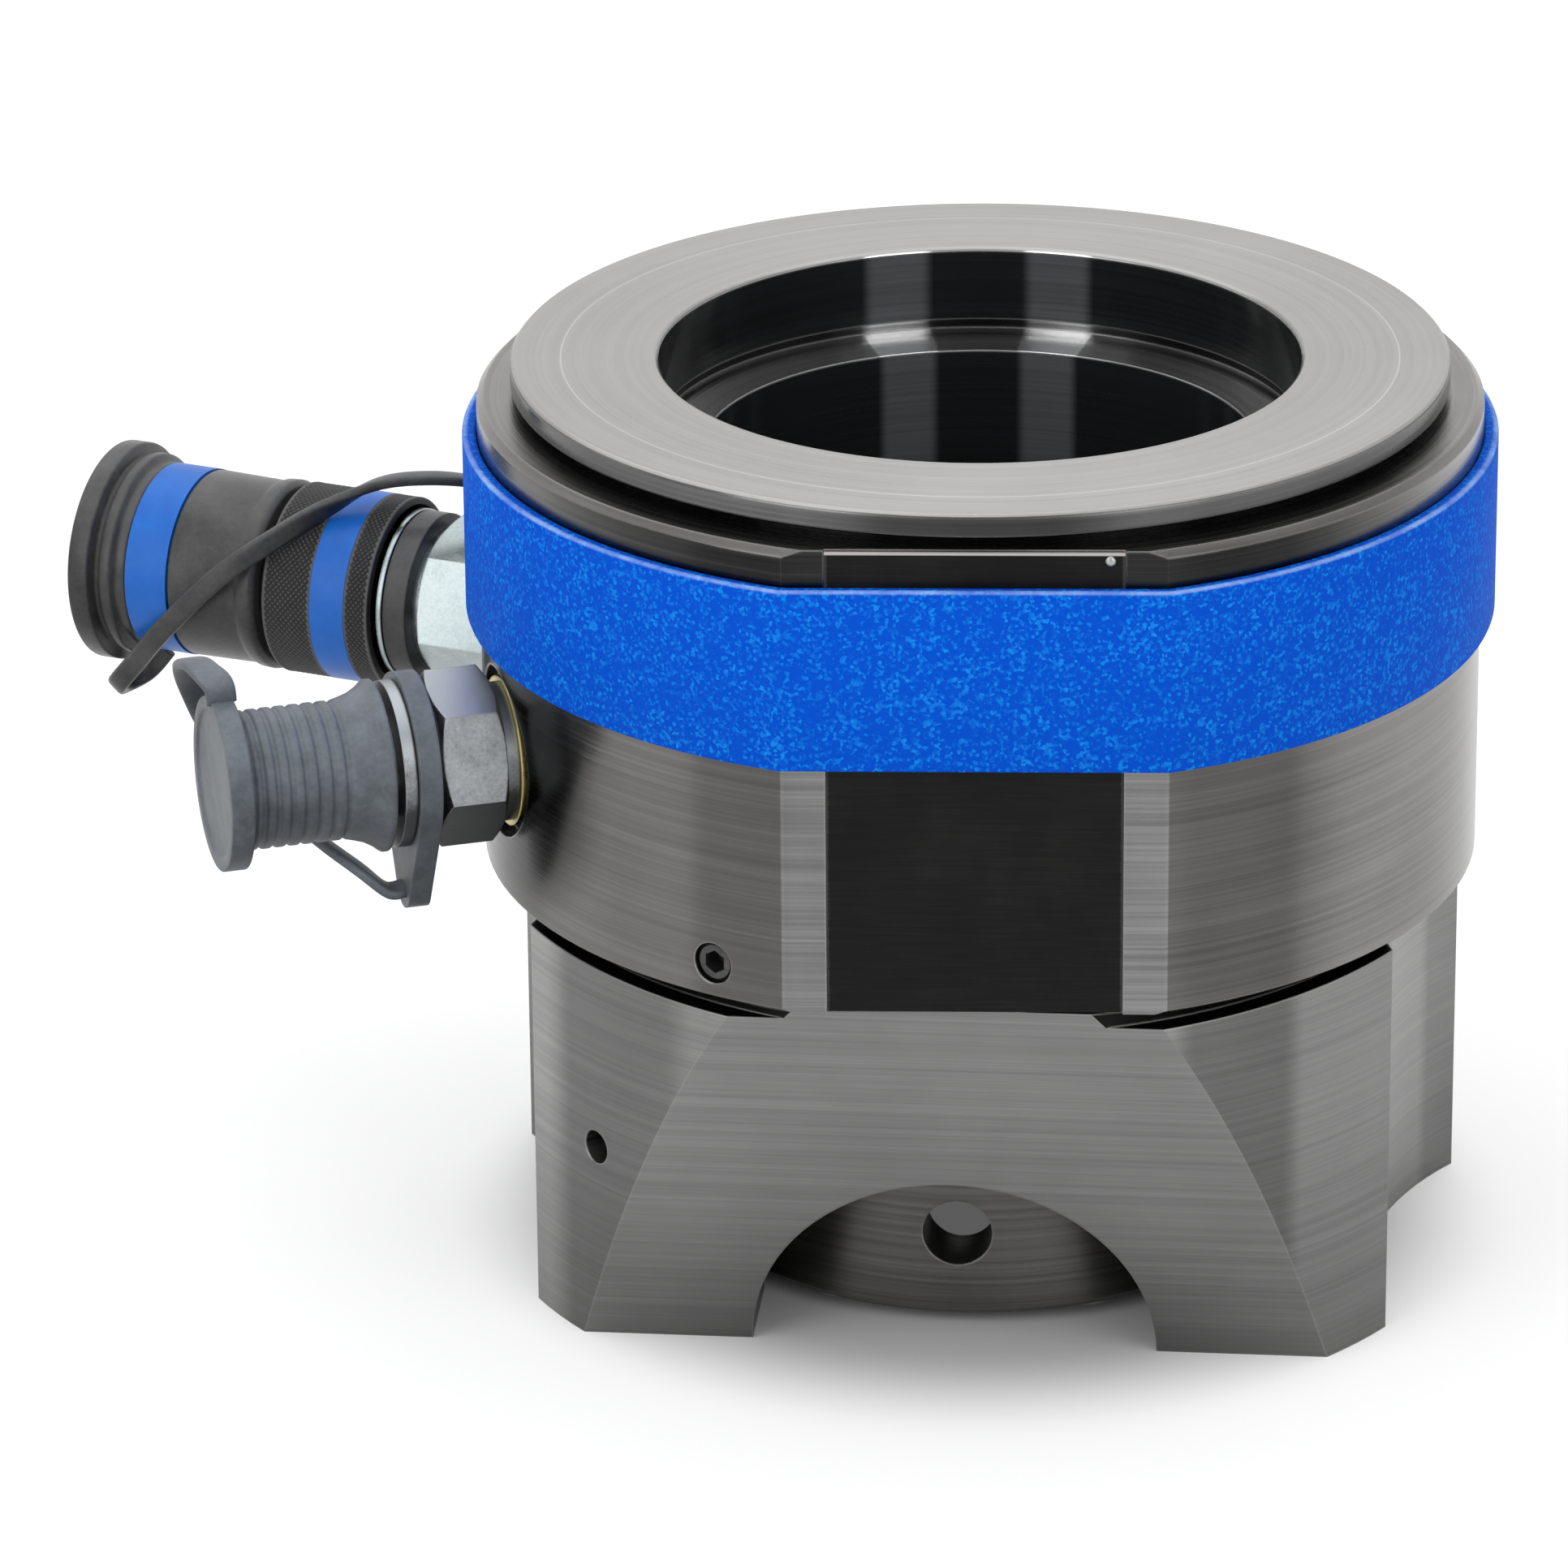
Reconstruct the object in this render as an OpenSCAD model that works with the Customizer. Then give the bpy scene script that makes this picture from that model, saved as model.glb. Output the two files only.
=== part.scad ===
// Hydraulic bolt tensioner: a ring cylinder with a hollow piston, standing on a windowed bridge.
// Millimetres, +Z up. The foot of the bridge is z = 0 and the rating plate faces -Y.

/* [Load cell] */
// Outside radius of the cylinder body and of the bridge below it
body_r = 72; // [71:0.5:76]
// Height of the cylinder body
body_h = 68.6; // [66:0.2:74]
// Depth of the milled plate flat
plate_cut = 5; // [4:0.1:5.5]
// Width of the rating plate
plate_w = 41; // [30:1:46]
// Thickness of the rating plate
plate_t = 0.5; // [0.3:0.1:1]
// Height of the chamber floor above the body's underside
floor_h = 34; // [32:0.5:36]
// Chamfer on the body's top edge
rim_chamfer = 1; // [0.4:0.1:1.5]

/* [Piston] */
// Wall of the cylinder around its bore
cylinder_wall = 12.3; // [12:0.1:14]
// Radius of the piston's lower skirt, which sets the pressure area
skirt_r = 44; // [43.5:0.1:45]
// Step from the body's side in to the piston's rim
rim_step = 4.9; // [4:0.1:7]
// Thickness of the piston's rim
rim_h = 3.4; // [2.5:0.1:5]
// Gap under the rim with the piston retracted
rim_gap = 1.8; // [1:0.1:3]
// Stroke of the piston
stroke = 15; // [8:0.5:15]
// Radius of the counterbore that takes the puller
seat_bore_r = 45.9; // [44:0.1:46.5]
// Depth of the counterbore down to the seat
seat_depth = 12.6; // [10:0.2:16]
// Drop of the conical puller seat
seat_drop = 1.2; // [0.6:0.1:2.5]
// Radius of the through bore
puller_bore_r = 39.5; // [37:0.1:41]

/* [Bridge] */
// Height of the bridge under the load cell
bridge_h = 60; // [58:0.5:66]
// Turn of the bridge against the load cell at rest
bridge_turn = -3.7; // [-15:0.1:15]
// Set-back of the sloping front face's top behind the plate flat
front_set = 1.1; // [0.5:0.1:3]
// Run of the sloping front face from its top in to its foot
front_run = 17.6; // [14:0.1:18.5]
// Radius of the half-round front window
window_r = 29; // [24:0.5:31]
// Depth of the side scallops, which clear the neighbouring bolts
scallop_depth = 13.2; // [9:0.1:15]
// Radius of the side scallops
scallop_r = 61.2; // [58:0.1:62]
// Turn of the scallops towards the front
scallop_turn = 8; // [0:0.5:12]
// Radius of the bore around the nut rotator
bridge_bore_r = 43.2; // [42.5:0.1:44]
// Height of the ledge that carries the nut rotator
ledge_h = 40; // [38:0.5:44]
// Wall of the load cell around the bridge's spigot
spigot_wall = 12.2; // [12:0.1:13.5]
// Height of the spigot
spigot_h = 9.6; // [9.2:0.1:10.5]
// Depth of the crescent relief at the joint, in from the bridge's side
relief_w = 3; // [1:0.1:4]
// Height of the crescent relief at its front end
relief_h = 2.6; // [1:0.1:4]
// Distance in front of the axis where the crescent relief starts
relief_from = 15; // [2:1:25]
// Drill radius of the tapped hole in the left leg
tapped_r = 2.5; // [2:0.1:3.5]
// Depth of the tapped hole
tapped_depth = 14; // [8:0.5:18]
// Height of the tapped hole
tapped_z = 30.5; // [24:0.5:36]
// Turn of the tapped hole from the front face
tapped_turn = 45; // [42:0.5:52]

/* [Nut rotator] */
// Width across flats of the nut socket
socket_af = 65.6; // [55:0.2:66]
// Depth of the nut socket
socket_depth = 31; // [24:0.5:33]
// Radius of the tommy-bar holes
tommy_r = 5; // [3:0.5:6]
// Height of the tommy-bar holes
tommy_z = 15; // [12:0.5:18]

/* [Grip band] */
// Height of the anti-slip band
band_h = 26.5; // [20:0.5:28]
// Thickness of the anti-slip band
band_t = 2.1; // [1:0.1:3]
// Distance of the band below the body's top
band_drop = 5.2; // [3:0.1:8]

/* [Hose ports] */
// Depth of the spot faces
spot_depth = 2.6; // [2:0.1:3.2]
// Radius of the spot faces
spot_r = 12.4; // [11.8:0.1:15]
// Direction of the female coupler
coupler_angle = 158; // [150:0.5:165]
// Direction of the male nipple
nipple_angle = 198; // [194:0.5:215]
// Height of the coupler's port above the body's underside
coupler_rise = 23.5; // [21:0.1:24]
// Height of the nipple's port above the body's underside
nipple_rise = 21; // [20.5:0.1:24]
// Radius of the port threads
thread_r = 6.5; // [5.5:0.1:7]
// Length of the thread stems below the spot faces
thread_l = 9; // [6:0.5:10]
// Width across flats of both hexagons
hex_af = 22; // [21:0.5:23]
// Turn of both hexagons
hex_turn = 18; // [0:1:60]

/* [Female coupler] */
// Length of the coupler's hexagon
coupler_hex_l = 13; // [11:0.5:15]
// Outside radius of the locking sleeve
sleeve_r = 14.3; // [14:0.1:15]
// Length of the sleeve that stays outside the cap
sleeve_grip_l = 17.8; // [17:0.2:22]
// Length of the sleeve under the cap
sleeve_nose_l = 10; // [8:0.5:12]
// Pull of the locking sleeve
sleeve_pull = 3; // [2:0.1:3]
// Radius of the probe socket
probe_socket_r = 6.3; // [6.2:0.1:6.5]
// Number of lock balls
ball_count = 8; // [6:1:10]
// Radius of the lock balls
ball_r = 1.6; // [1.4:0.1:1.7]
// Push of the coupler's poppet
coupler_push = 2.5; // [1:0.1:3]

/* [Male nipple] */
// Length of the nipple's hexagon
nipple_hex_l = 9.3; // [8:0.1:10]
// Length of the probe beyond the strap ring
probe_l = 21; // [18:0.5:21.5]
// Radius of the probe
probe_r = 6; // [5.8:0.1:6]
// Push of the nipple's poppet
nipple_push = 1.5; // [1:0.1:2]

/* [Caps and straps] */
// Length of the coupler's cap
cap_l = 31; // [28:0.5:34]
// Outside radius of the coupler's cap
cap_r = 14; // [13.8:0.1:14.6]
// Radius of the coupler cap's end flange
flange_r = 16.5; // [15.6:0.1:18]
// Radius of the nipple cap's ribbed body
ribbed_r = 10; // [9.6:0.1:11]
// Radius of the nipple cap's end disc
disc_r = 12.6; // [12:0.1:13.5]
// Reach of the tear-drop strap ring's lobe
lobe_reach = 18; // [16:0.5:19]
// Width of the coupler's strap
strap_w = 3.2; // [2.4:0.1:4]
// Width of the nipple's strap
nipple_strap_w = 4.4; // [3:0.1:5]
// Thickness of both straps
strap_t = 1.6; // [1.2:0.1:2]

/* [Fits] */
// Radial clearance of running and sliding fits
run_fit = 0.05; // [0.02:0.01:0.09]
// Gap between loose neighbours
loose_fit = 0.4; // [0.35:0.05:0.5]
// Gap between pieces that are fixed to each other
seat_gap = 0.02; // [0.01:0.01:0.04]

/* [Hidden] */
$fn = 96;
more = 1;

// Radii and distances counted in from the body's side
plate_flat = body_r - plate_cut;
cylinder_r = body_r - cylinder_wall;
rim_r = body_r - rim_step;
front_top = plate_flat - front_set;
front_foot = front_top - front_run;
scallop_pitch = body_r - scallop_depth + scallop_r;
spigot_r = body_r - spigot_wall;
spot_face = body_r - spot_depth;

// Heights in the tool's frame
body_z = bridge_h + seat_gap;
body_top = body_z + body_h;
piston_top = body_top + rim_gap + rim_h;
rim_z = body_top + rim_gap;
floor_z = body_z + floor_h;
rest_gap = 1;
shoulder_z = floor_z + rest_gap;
recess_r = spigot_r + run_fit;
recess_z = body_z + spigot_h + loose_fit;
land_r = skirt_r + run_fit;
piston_r = cylinder_r - run_fit;
seat_z = piston_top - seat_depth;

// Rod seal in the body's lower land, below the chamber floor
seal_d = 4;
seal_h = 3.6;
backup_h = 1.6;
rod_groove_z = recess_z + (floor_z - recess_z - seal_h - backup_h) / 2;

// Foot of the piston's skirt, still inside the rod seal at full stroke
skirt_z = rod_groove_z - stroke - 1.4;

// Seal and guide ring on the piston, above its shoulder
piston_groove_z = shoulder_z + 3;
guide_z = piston_groove_z + seal_h + backup_h + 3;
guide_h = 6;
guide_d = 2;

// Grub screws and the spigot's groove
grub_r = 3;
grub_tip_r = 1.9;
grub_z = 5.3;
grub_turn = 30.5;
groove_d = 2.6;
groove_w = 2 * (grub_tip_r + loose_fit);
grub_sink = 0.6;

// Nut rotator inside the bridge
rotator_r = bridge_bore_r - loose_fit;
collar_bore_r = bridge_bore_r + 4.3;
collar_r = collar_bore_r - loose_fit;
collar_h = 6;
rotator_foot = 2;
rotator_top = ledge_h + seat_gap + collar_h;
rotator_bore_r = socket_af / 2 + 1.2;

// Places along a port, counted outwards from its spot face
seal_t = 2;
neck_t = seal_t + 1;
coupler_hex_end = neck_t + coupler_hex_l;
strap_ring_t = 3.6;
coupler_ring_at = coupler_hex_end + 1.2;
coupler_seat_end = coupler_ring_at + strap_ring_t + 0.2;
coupler_flange_end = coupler_seat_end + 0.8;
sleeve_at = coupler_flange_end + 0.6;
sleeve_grip_end = sleeve_at + sleeve_grip_l;
sleeve_end = sleeve_grip_end + sleeve_nose_l;
coupler_end = sleeve_end + 6;
stem_r = 9.6;
release_r = stem_r + 1.1;
ring_seat_r = 10.4;
ring_r = 12.6;
skirt_wall = 1.1;
sleeve_skirt_l = sleeve_pull + 2;
spring_room_r = 12.4;
spring_stop_at = sleeve_at + sleeve_skirt_l + sleeve_pull + 0.6;
sleeve_land_at = sleeve_grip_end - 2;
nose_r = 11.6;
ball_at = sleeve_land_at + 4;
snap_at = sleeve_end + seat_gap;
snap_t = 1.2;
socket_at = spring_stop_at + 2;
valve_r = 4.2;
valve_seat_r = 3;
plug_t = 4;

nipple_collar_end = seal_t + 1.9;
nipple_hex_end = nipple_collar_end + nipple_hex_l;
nipple_ring_at = nipple_hex_end + 0.8;
nipple_ring_end = nipple_ring_at + 3.2;
nipple_flange_end = nipple_ring_end + 2;
nipple_cap_at = nipple_flange_end + 1.2;
probe_end = nipple_ring_end + probe_l;
nipple_cap_end = probe_end + 6.2;
nipple_valve_r = 3.2;
nipple_valve_seat_r = 2.2;
disc_t = 3.3;
rib_count = 7;
flare_l = 5.3;
flare_r = 12.4;

// Places that several coupler and nipple pieces share
sleeve_band_at = sleeve_at + 4.1;
sleeve_band_end = sleeve_band_at + 5.6;
coupler_lobe = ring_r + 2.2;
coupler_lobe_t = sleeve_at - sleeve_pull - loose_fit - coupler_ring_at;
coupler_plug_at = 2;
coupler_poppet_at = coupler_plug_at + plug_t + coupler_push + 4.5;
cap_at = sleeve_grip_end + 0.1;
cap_end = cap_at + cap_l;
cap_band_at = cap_at + 15.8;
cap_band_end = cap_band_at + 6.8;
nipple_neck_r = 9;
nipple_ring_t = nipple_ring_end - nipple_ring_at;
probe_root_r = 7.6;
nipple_plug_at = 2;
nipple_poppet_at = nipple_plug_at + plug_t + nipple_push + 7.5;
rib_at = nipple_cap_at + flare_l;

// Oil drillings from the ports to the chamber floor
oil_r = 2;
oil_at = skirt_r + 9;

// Wire springs
turns_step = 20;
wire_steps = 8;

STEEL = "#8f8f8f";
ZINC = "#c4c6c8";
BLACK = "#2a2a2c";
BLUE = "#0a5fd8";
RUBBER = "#4c5156";
BRASS = "#c9b45a";
PLASTIC = "#d8d2c0";

// Stands children at a port: X outwards, Y towards the front, Z up, from the middle of the spot face.
module at_port(angle, rise) {
    rotate([0, 0, angle])
        translate([spot_face, 0, body_z + rise])
            children();
}

// Turns children so that their Z runs outwards along a port.
module along_port(angle, rise) {
    at_port(angle, rise)
        rotate([0, 90, 0])
            children();
}

// Plain ring around Z.
module ring(outer, inner, from, to) {
    translate([0, 0, from])
        difference() {
            cylinder(h = to - from, r = outer);
            translate([0, 0, -more])
                cylinder(h = to - from + 2 * more, r = inner);
        }
}

// Hexagon prism around Z, turned as both port hexagons are, with its corners turned off at the outer end.
module hexagon(af, from, to) {
    corner_r = af / sqrt(3);
    intersection() {
        translate([0, 0, from])
            rotate([0, 0, hex_turn])
                cylinder(h = to - from, r = corner_r, $fn = 6);
        rotate_extrude()
            polygon([
                [0, from], [af / 2, from], [corner_r, from + 0.9],
                [corner_r, to - 0.9], [af / 2, to], [0, to]
            ]);
    }
}

// Joins rings of points, one after the other, into a closed solid.
module skin(rings) {
    count = len(rings[0]);
    last = len(rings) - 1;
    walls = [
        for (i = [0:last - 1], j = [0:count - 1])
            let (k = (j + 1) % count)
                each [
                    [i * count + j, (i + 1) * count + k, i * count + k],
                    [i * count + j, (i + 1) * count + j, (i + 1) * count + k]
                ]
    ];
    first_cap = [for (j = [1:count - 2]) [0, j, j + 1]];
    last_cap = [for (j = [1:count - 2]) [last * count, last * count + j + 1, last * count + j]];
    polyhedron(points = [for (r = rings) each r], faces = concat(walls, first_cap, last_cap));
}

function unit(v) = v / norm(v);

// Point of a smooth curve through the given points, u from 0 to the number of spans.
function on_curve(points, u) =
    let (
        last = len(points) - 1,
        i = min(floor(u), last - 1),
        f = u - i,
        a = points[max(i - 1, 0)],
        b = points[i],
        c = points[i + 1],
        d = points[min(i + 2, last)]
    )
    b + 0.5 * f * ((c - a) + f * ((2 * a - 5 * b + 4 * c - d) + f * (3 * b - a - 3 * c + d)));

// Flat strap along a smooth curve. Each stop of the route gives a point and the way the strap's width runs.
module strap(route, steps, width) {
    points = [for (stop = route) stop[0]];
    widths = [for (stop = route) stop[1]];
    spans = len(route) - 1;
    count = spans * steps;
    skin([
        for (i = [0:count])
            let (
                u = i / steps,
                p = on_curve(points, u),
                ahead = unit(on_curve(points, min(u + 0.05, spans)) - on_curve(points, max(u - 0.05, 0))),
                w = on_curve(widths, u),
                side = unit(w - (w * ahead) * ahead),
                up = cross(ahead, side),
                a = width / 2,
                b = strap_t / 2
            )
                [p - a * side - b * up, p + a * side - b * up, p + a * side + b * up, p - a * side + b * up]
    ]);
}

// Round-wire compression spring around Z.
module wire_spring(r, wire_r, from, to, turns) {
    count = turns * turns_step;
    low = from + wire_r;
    high = to - wire_r;
    skin([
        for (i = [0:count])
            let (a = 360 * i / turns_step, z = low + (high - low) * i / count)
                [
                    for (j = [0:wire_steps - 1])
                        let (b = 360 * j / wire_steps, reach = r + wire_r * cos(b))
                            [reach * cos(a), reach * sin(a), z - wire_r * sin(b)]
                ]
    ]);
}

// Bridge: turned ring with sloping front, half-round window, side scallops and the load cell's spigot.
module bridge() {
    $fn = 180;
    // The scallops' cutter runs out a little above the joint
    run_out = 0.5;
    color(STEEL)
        rotate([0, 0, bridge_turn])
            difference() {
                bridge_ring();
                joint_relief();
                bridge_front();
                rotate([90, 0, 0])
                    cylinder(h = body_r + more, r = window_r);
                for (side = [0, 1])
                    mirror([side, 0, 0])
                        rotate([0, 0, -scallop_turn])
                            translate([scallop_pitch, 0, -more])
                                cylinder(h = bridge_h + more + run_out, r = scallop_r);
                rotate([0, 0, -90 - tapped_turn])
                    translate([body_r + more, 0, tapped_z])
                        rotate([0, -90, 0])
                            cylinder(h = tapped_depth + more, r = tapped_r);
            }
}

// Turned blank of the bridge, with the bore, the rotator's ledge and the grooved spigot.
module bridge_ring() {
    groove_low = bridge_h + grub_z - groove_w / 2;
    groove_high = bridge_h + grub_z + groove_w / 2;
    spigot_top = bridge_h + spigot_h;
    rotate_extrude()
        polygon([
            [bridge_bore_r, 0], [body_r, 0], [body_r, bridge_h], [spigot_r, bridge_h],
            [spigot_r, groove_low], [spigot_r - groove_d, groove_low],
            [spigot_r - groove_d, groove_high], [spigot_r, groove_high],
            [spigot_r, spigot_top - 0.8], [spigot_r - 0.8, spigot_top],
            [collar_bore_r, spigot_top], [collar_bore_r, ledge_h], [bridge_bore_r, ledge_h]
        ]);
}

// Wedge that mills the bridge's sloping front face.
module bridge_front() {
    rotate([90, 0, 90])
        linear_extrude(height = 4 * body_r, center = true)
            polygon([
                [-front_foot, 0], [-front_top, bridge_h],
                [-body_r - more, bridge_h], [-body_r - more, -more], [-front_foot, -more]
            ]);
}

// Crescent relief at the joint: a plane that dips towards the front, outside the load cell's seat.
module joint_relief() {
    reach = body_r + 2 * more;
    dip = relief_h / (body_r - relief_from);
    low = bridge_h - dip * (reach - relief_from);
    high = bridge_h + dip * relief_from;
    difference() {
        rotate([90, 0, 90])
            linear_extrude(height = 3 * body_r, center = true)
                polygon([[0, high], [-reach, low], [-reach, high + more], [0, high + more]]);
        translate([0, 0, low - more])
            cylinder(h = high - low + 3 * more, r = body_r - relief_w);
    }
}

// Nut rotator: hexagon socket in a sleeve, hung by its collar on the bridge's ledge.
module nut_rotator() {
    socket_end = rotator_foot + socket_depth;
    color(STEEL)
        rotate([0, 0, bridge_turn])
            difference() {
                rotate_extrude()
                    polygon([
                        [0, rotator_foot], [rotator_r - 1, rotator_foot],
                        [rotator_r, rotator_foot + 1], [rotator_r, ledge_h + seat_gap],
                        [collar_r, ledge_h + seat_gap], [collar_r, rotator_top - 1],
                        [collar_r - 1, rotator_top], [0, rotator_top]
                    ]);
                translate([0, 0, rotator_foot - more])
                    cylinder(h = socket_depth + more, r = socket_af / sqrt(3), $fn = 6);
                translate([0, 0, socket_end])
                    cylinder(h = rotator_top - socket_end + more, r = rotator_bore_r);
                for (i = [0:5])
                    rotate([0, 0, 60 * i - 30])
                        translate([0, 0, tommy_z])
                            rotate([0, 90, 0])
                                cylinder(h = body_r, r = tommy_r);
            }
}

// Cylinder body: turned bore and lands, milled plate flat, spot-faced ports and grub screw holes.
module cylinder_body() {
    color(STEEL)
        difference() {
            rotate_extrude()
                polygon([
                    [recess_r + 0.6, body_z], [body_r - 0.5, body_z], [body_r, body_z + 0.5],
                    [body_r, body_top - rim_chamfer], [body_r - rim_chamfer, body_top],
                    [cylinder_r + 1, body_top], [cylinder_r, body_top - 2],
                    [cylinder_r, floor_z], [land_r, floor_z],
                    [land_r, rod_groove_z + seal_h + backup_h],
                    [land_r + seal_d, rod_groove_z + seal_h + backup_h],
                    [land_r + seal_d, rod_groove_z], [land_r, rod_groove_z],
                    [land_r, recess_z + 0.8], [land_r + 0.8, recess_z],
                    [recess_r, recess_z], [recess_r, body_z + 0.6]
                ]);
            beyond_flat(plate_flat);
            plate_slot();
            for (k = [0:2])
                at_grub(k)
                    translate([0, 0, -more])
                        cylinder(h = body_r - recess_r + 3 * more, r = grub_r + seat_gap);
            port_cuts(coupler_angle, coupler_rise);
            port_cuts(nipple_angle, nipple_rise);
        }
}

// Everything in front of a flat at the given distance.
module beyond_flat(distance) {
    translate([-body_r, -distance - body_r, body_z - more])
        cube([2 * body_r, body_r, body_h + 2 * more]);
}

// Shallow slot in the flat that takes the rating plate.
module plate_slot() {
    slot_w = plate_w + 2 * seat_gap;
    translate([-slot_w / 2, -plate_flat - more, body_z - more])
        cube([slot_w, plate_t + seat_gap + more, body_h + 2 * more]);
}

// Stands children at a grub screw's mouth, Z running inwards.
module at_grub(k) {
    rotate([0, 0, -90 - grub_turn + 120 * k])
        translate([body_r, 0, body_z + grub_z])
            rotate([0, -90, 0])
                children();
}

// Spot face, thread and oil drillings of one port.
module port_cuts(angle, rise) {
    along_port(angle, rise) {
        cylinder(h = body_r, r = spot_r);
        translate([0, 0, -thread_l - 0.5])
            cylinder(h = body_r, r = thread_r + seat_gap);
        translate([0, 0, oil_at - spot_face])
            cylinder(h = body_r, r = oil_r);
    }
    rotate([0, 0, angle])
        translate([oil_at, 0, body_z + rise])
            cylinder(h = floor_z - body_z - rise + 0.5, r = oil_r);
}

// Rating plate: bare strip, flush with the flat.
module rating_plate() {
    color(BLACK)
        translate([-plate_w / 2, -plate_flat, body_z + 0.3])
            cube([plate_w, plate_t, body_h - 0.6]);
}

// Anti-slip band: follows the body around and straight across the flat.
module grip_band() {
    top = body_top - band_drop;
    color(BLUE)
        difference() {
            translate([0, 0, top - band_h])
                cylinder(h = band_h, r = body_r + band_t);
            beyond_flat(plate_flat + band_t);
            difference() {
                translate([0, 0, top - band_h - more])
                    cylinder(h = band_h + 2 * more, r = body_r + seat_gap);
                beyond_flat(plate_flat + seat_gap);
            }
        }
}

// Dog-point grub screw with a hexagon socket.
module grub_screw(k) {
    tip_reach = body_r - spigot_r + groove_d - loose_fit;
    thread_end = body_r - recess_r - 0.4;
    color(BLACK)
        at_grub(k)
            difference() {
                rotate_extrude()
                    polygon([
                        [0, grub_sink], [grub_r - 0.5, grub_sink], [grub_r, grub_sink + 0.5],
                        [grub_r, thread_end - 0.5], [grub_tip_r, thread_end],
                        [grub_tip_r, tip_reach], [0, tip_reach]
                    ]);
                translate([0, 0, grub_sink - more])
                    cylinder(h = 3.2 + more, r = 3 / sqrt(3), $fn = 6);
            }
}

module grub_screw_1() {
    grub_screw(0);
}

module grub_screw_2() {
    grub_screw(1);
}

module grub_screw_3() {
    grub_screw(2);
}

// Rod seal: U-cup in the body's land, lips towards the chamber.
module rod_seal() {
    z = rod_groove_z + backup_h;
    inner = skirt_r + run_fit / 2;
    outer = land_r + seal_d - seat_gap;
    middle = (inner + outer) / 2;
    color(PLASTIC)
        rotate_extrude()
            polygon([
                [inner, z + seat_gap], [outer, z + seat_gap], [outer, z + seal_h - seat_gap],
                [middle + 1, z + seal_h - seat_gap], [middle, z + seal_h - 1.4],
                [middle - 1, z + seal_h - seat_gap], [inner, z + seal_h - seat_gap]
            ]);
}

// Back-up ring on the low-pressure side of the rod seal.
module rod_backup_ring() {
    color(PLASTIC)
        ring(land_r + seal_d - seat_gap, skirt_r + run_fit / 2, rod_groove_z + seat_gap, rod_groove_z + backup_h);
}

// Piston: rim, puller seat, guide and seal grooves, and the skirt that runs in the lower land.
module piston() {
    seal_top = piston_groove_z + seal_h + backup_h;
    undercut_h = 1.5;
    undercut_d = 0.6;
    color(STEEL)
        rotate_extrude()
            polygon([
                [seat_bore_r + 0.5, piston_top], [rim_r - 0.5, piston_top], [rim_r, piston_top - 0.5],
                [rim_r, rim_z + 0.3], [rim_r - 0.3, rim_z], [piston_r, rim_z],
                [piston_r, guide_z + guide_h], [piston_r - guide_d, guide_z + guide_h],
                [piston_r - guide_d, guide_z], [piston_r, guide_z],
                [piston_r, seal_top], [piston_r - seal_d, seal_top],
                [piston_r - seal_d, piston_groove_z], [piston_r, piston_groove_z],
                [piston_r, shoulder_z + 1.5], [piston_r - 1.5, shoulder_z],
                [skirt_r, shoulder_z], [skirt_r, skirt_z + 1.5], [skirt_r - 1.5, skirt_z],
                [puller_bore_r + 0.6, skirt_z], [puller_bore_r, skirt_z + 0.6],
                [puller_bore_r, seat_z - seat_drop], [seat_bore_r + undercut_d, seat_z],
                [seat_bore_r + undercut_d, seat_z + undercut_h], [seat_bore_r, seat_z + undercut_h],
                [seat_bore_r, piston_top - 0.5]
            ]);
}

// Guide ring that keeps the piston's steel off the bore.
module piston_guide_ring() {
    color(PLASTIC)
        ring(cylinder_r - run_fit / 2, piston_r - guide_d + seat_gap, guide_z + seat_gap, guide_z + guide_h - seat_gap);
}

// Piston seal: U-cup, lips down towards the oil.
module piston_seal() {
    z = piston_groove_z;
    inner = piston_r - seal_d + seat_gap;
    outer = cylinder_r - run_fit / 2;
    middle = (inner + outer) / 2;
    color(PLASTIC)
        rotate_extrude()
            polygon([
                [inner, z + seat_gap], [middle - 1, z + seat_gap], [middle, z + 1.4],
                [middle + 1, z + seat_gap], [outer, z + seat_gap],
                [outer, z + seal_h - seat_gap], [inner, z + seal_h - seat_gap]
            ]);
}

// Back-up ring above the piston seal.
module piston_backup_ring() {
    low = piston_groove_z + seal_h;
    color(PLASTIC)
        ring(cylinder_r - run_fit / 2, piston_r - seal_d + seat_gap, low, low + backup_h - seat_gap);
}

// Bonded seal: brass-coloured washer with a rubber lip, between spot face and hexagon.
module bonded_seal(angle, rise) {
    color(BRASS)
        along_port(angle, rise)
            ring(hex_af / 2 - 0.2, thread_r + seat_gap, seat_gap, seal_t - seat_gap);
}

module coupler_bonded_seal() {
    bonded_seal(coupler_angle, coupler_rise);
}

module nipple_bonded_seal() {
    bonded_seal(nipple_angle, nipple_rise);
}

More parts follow.
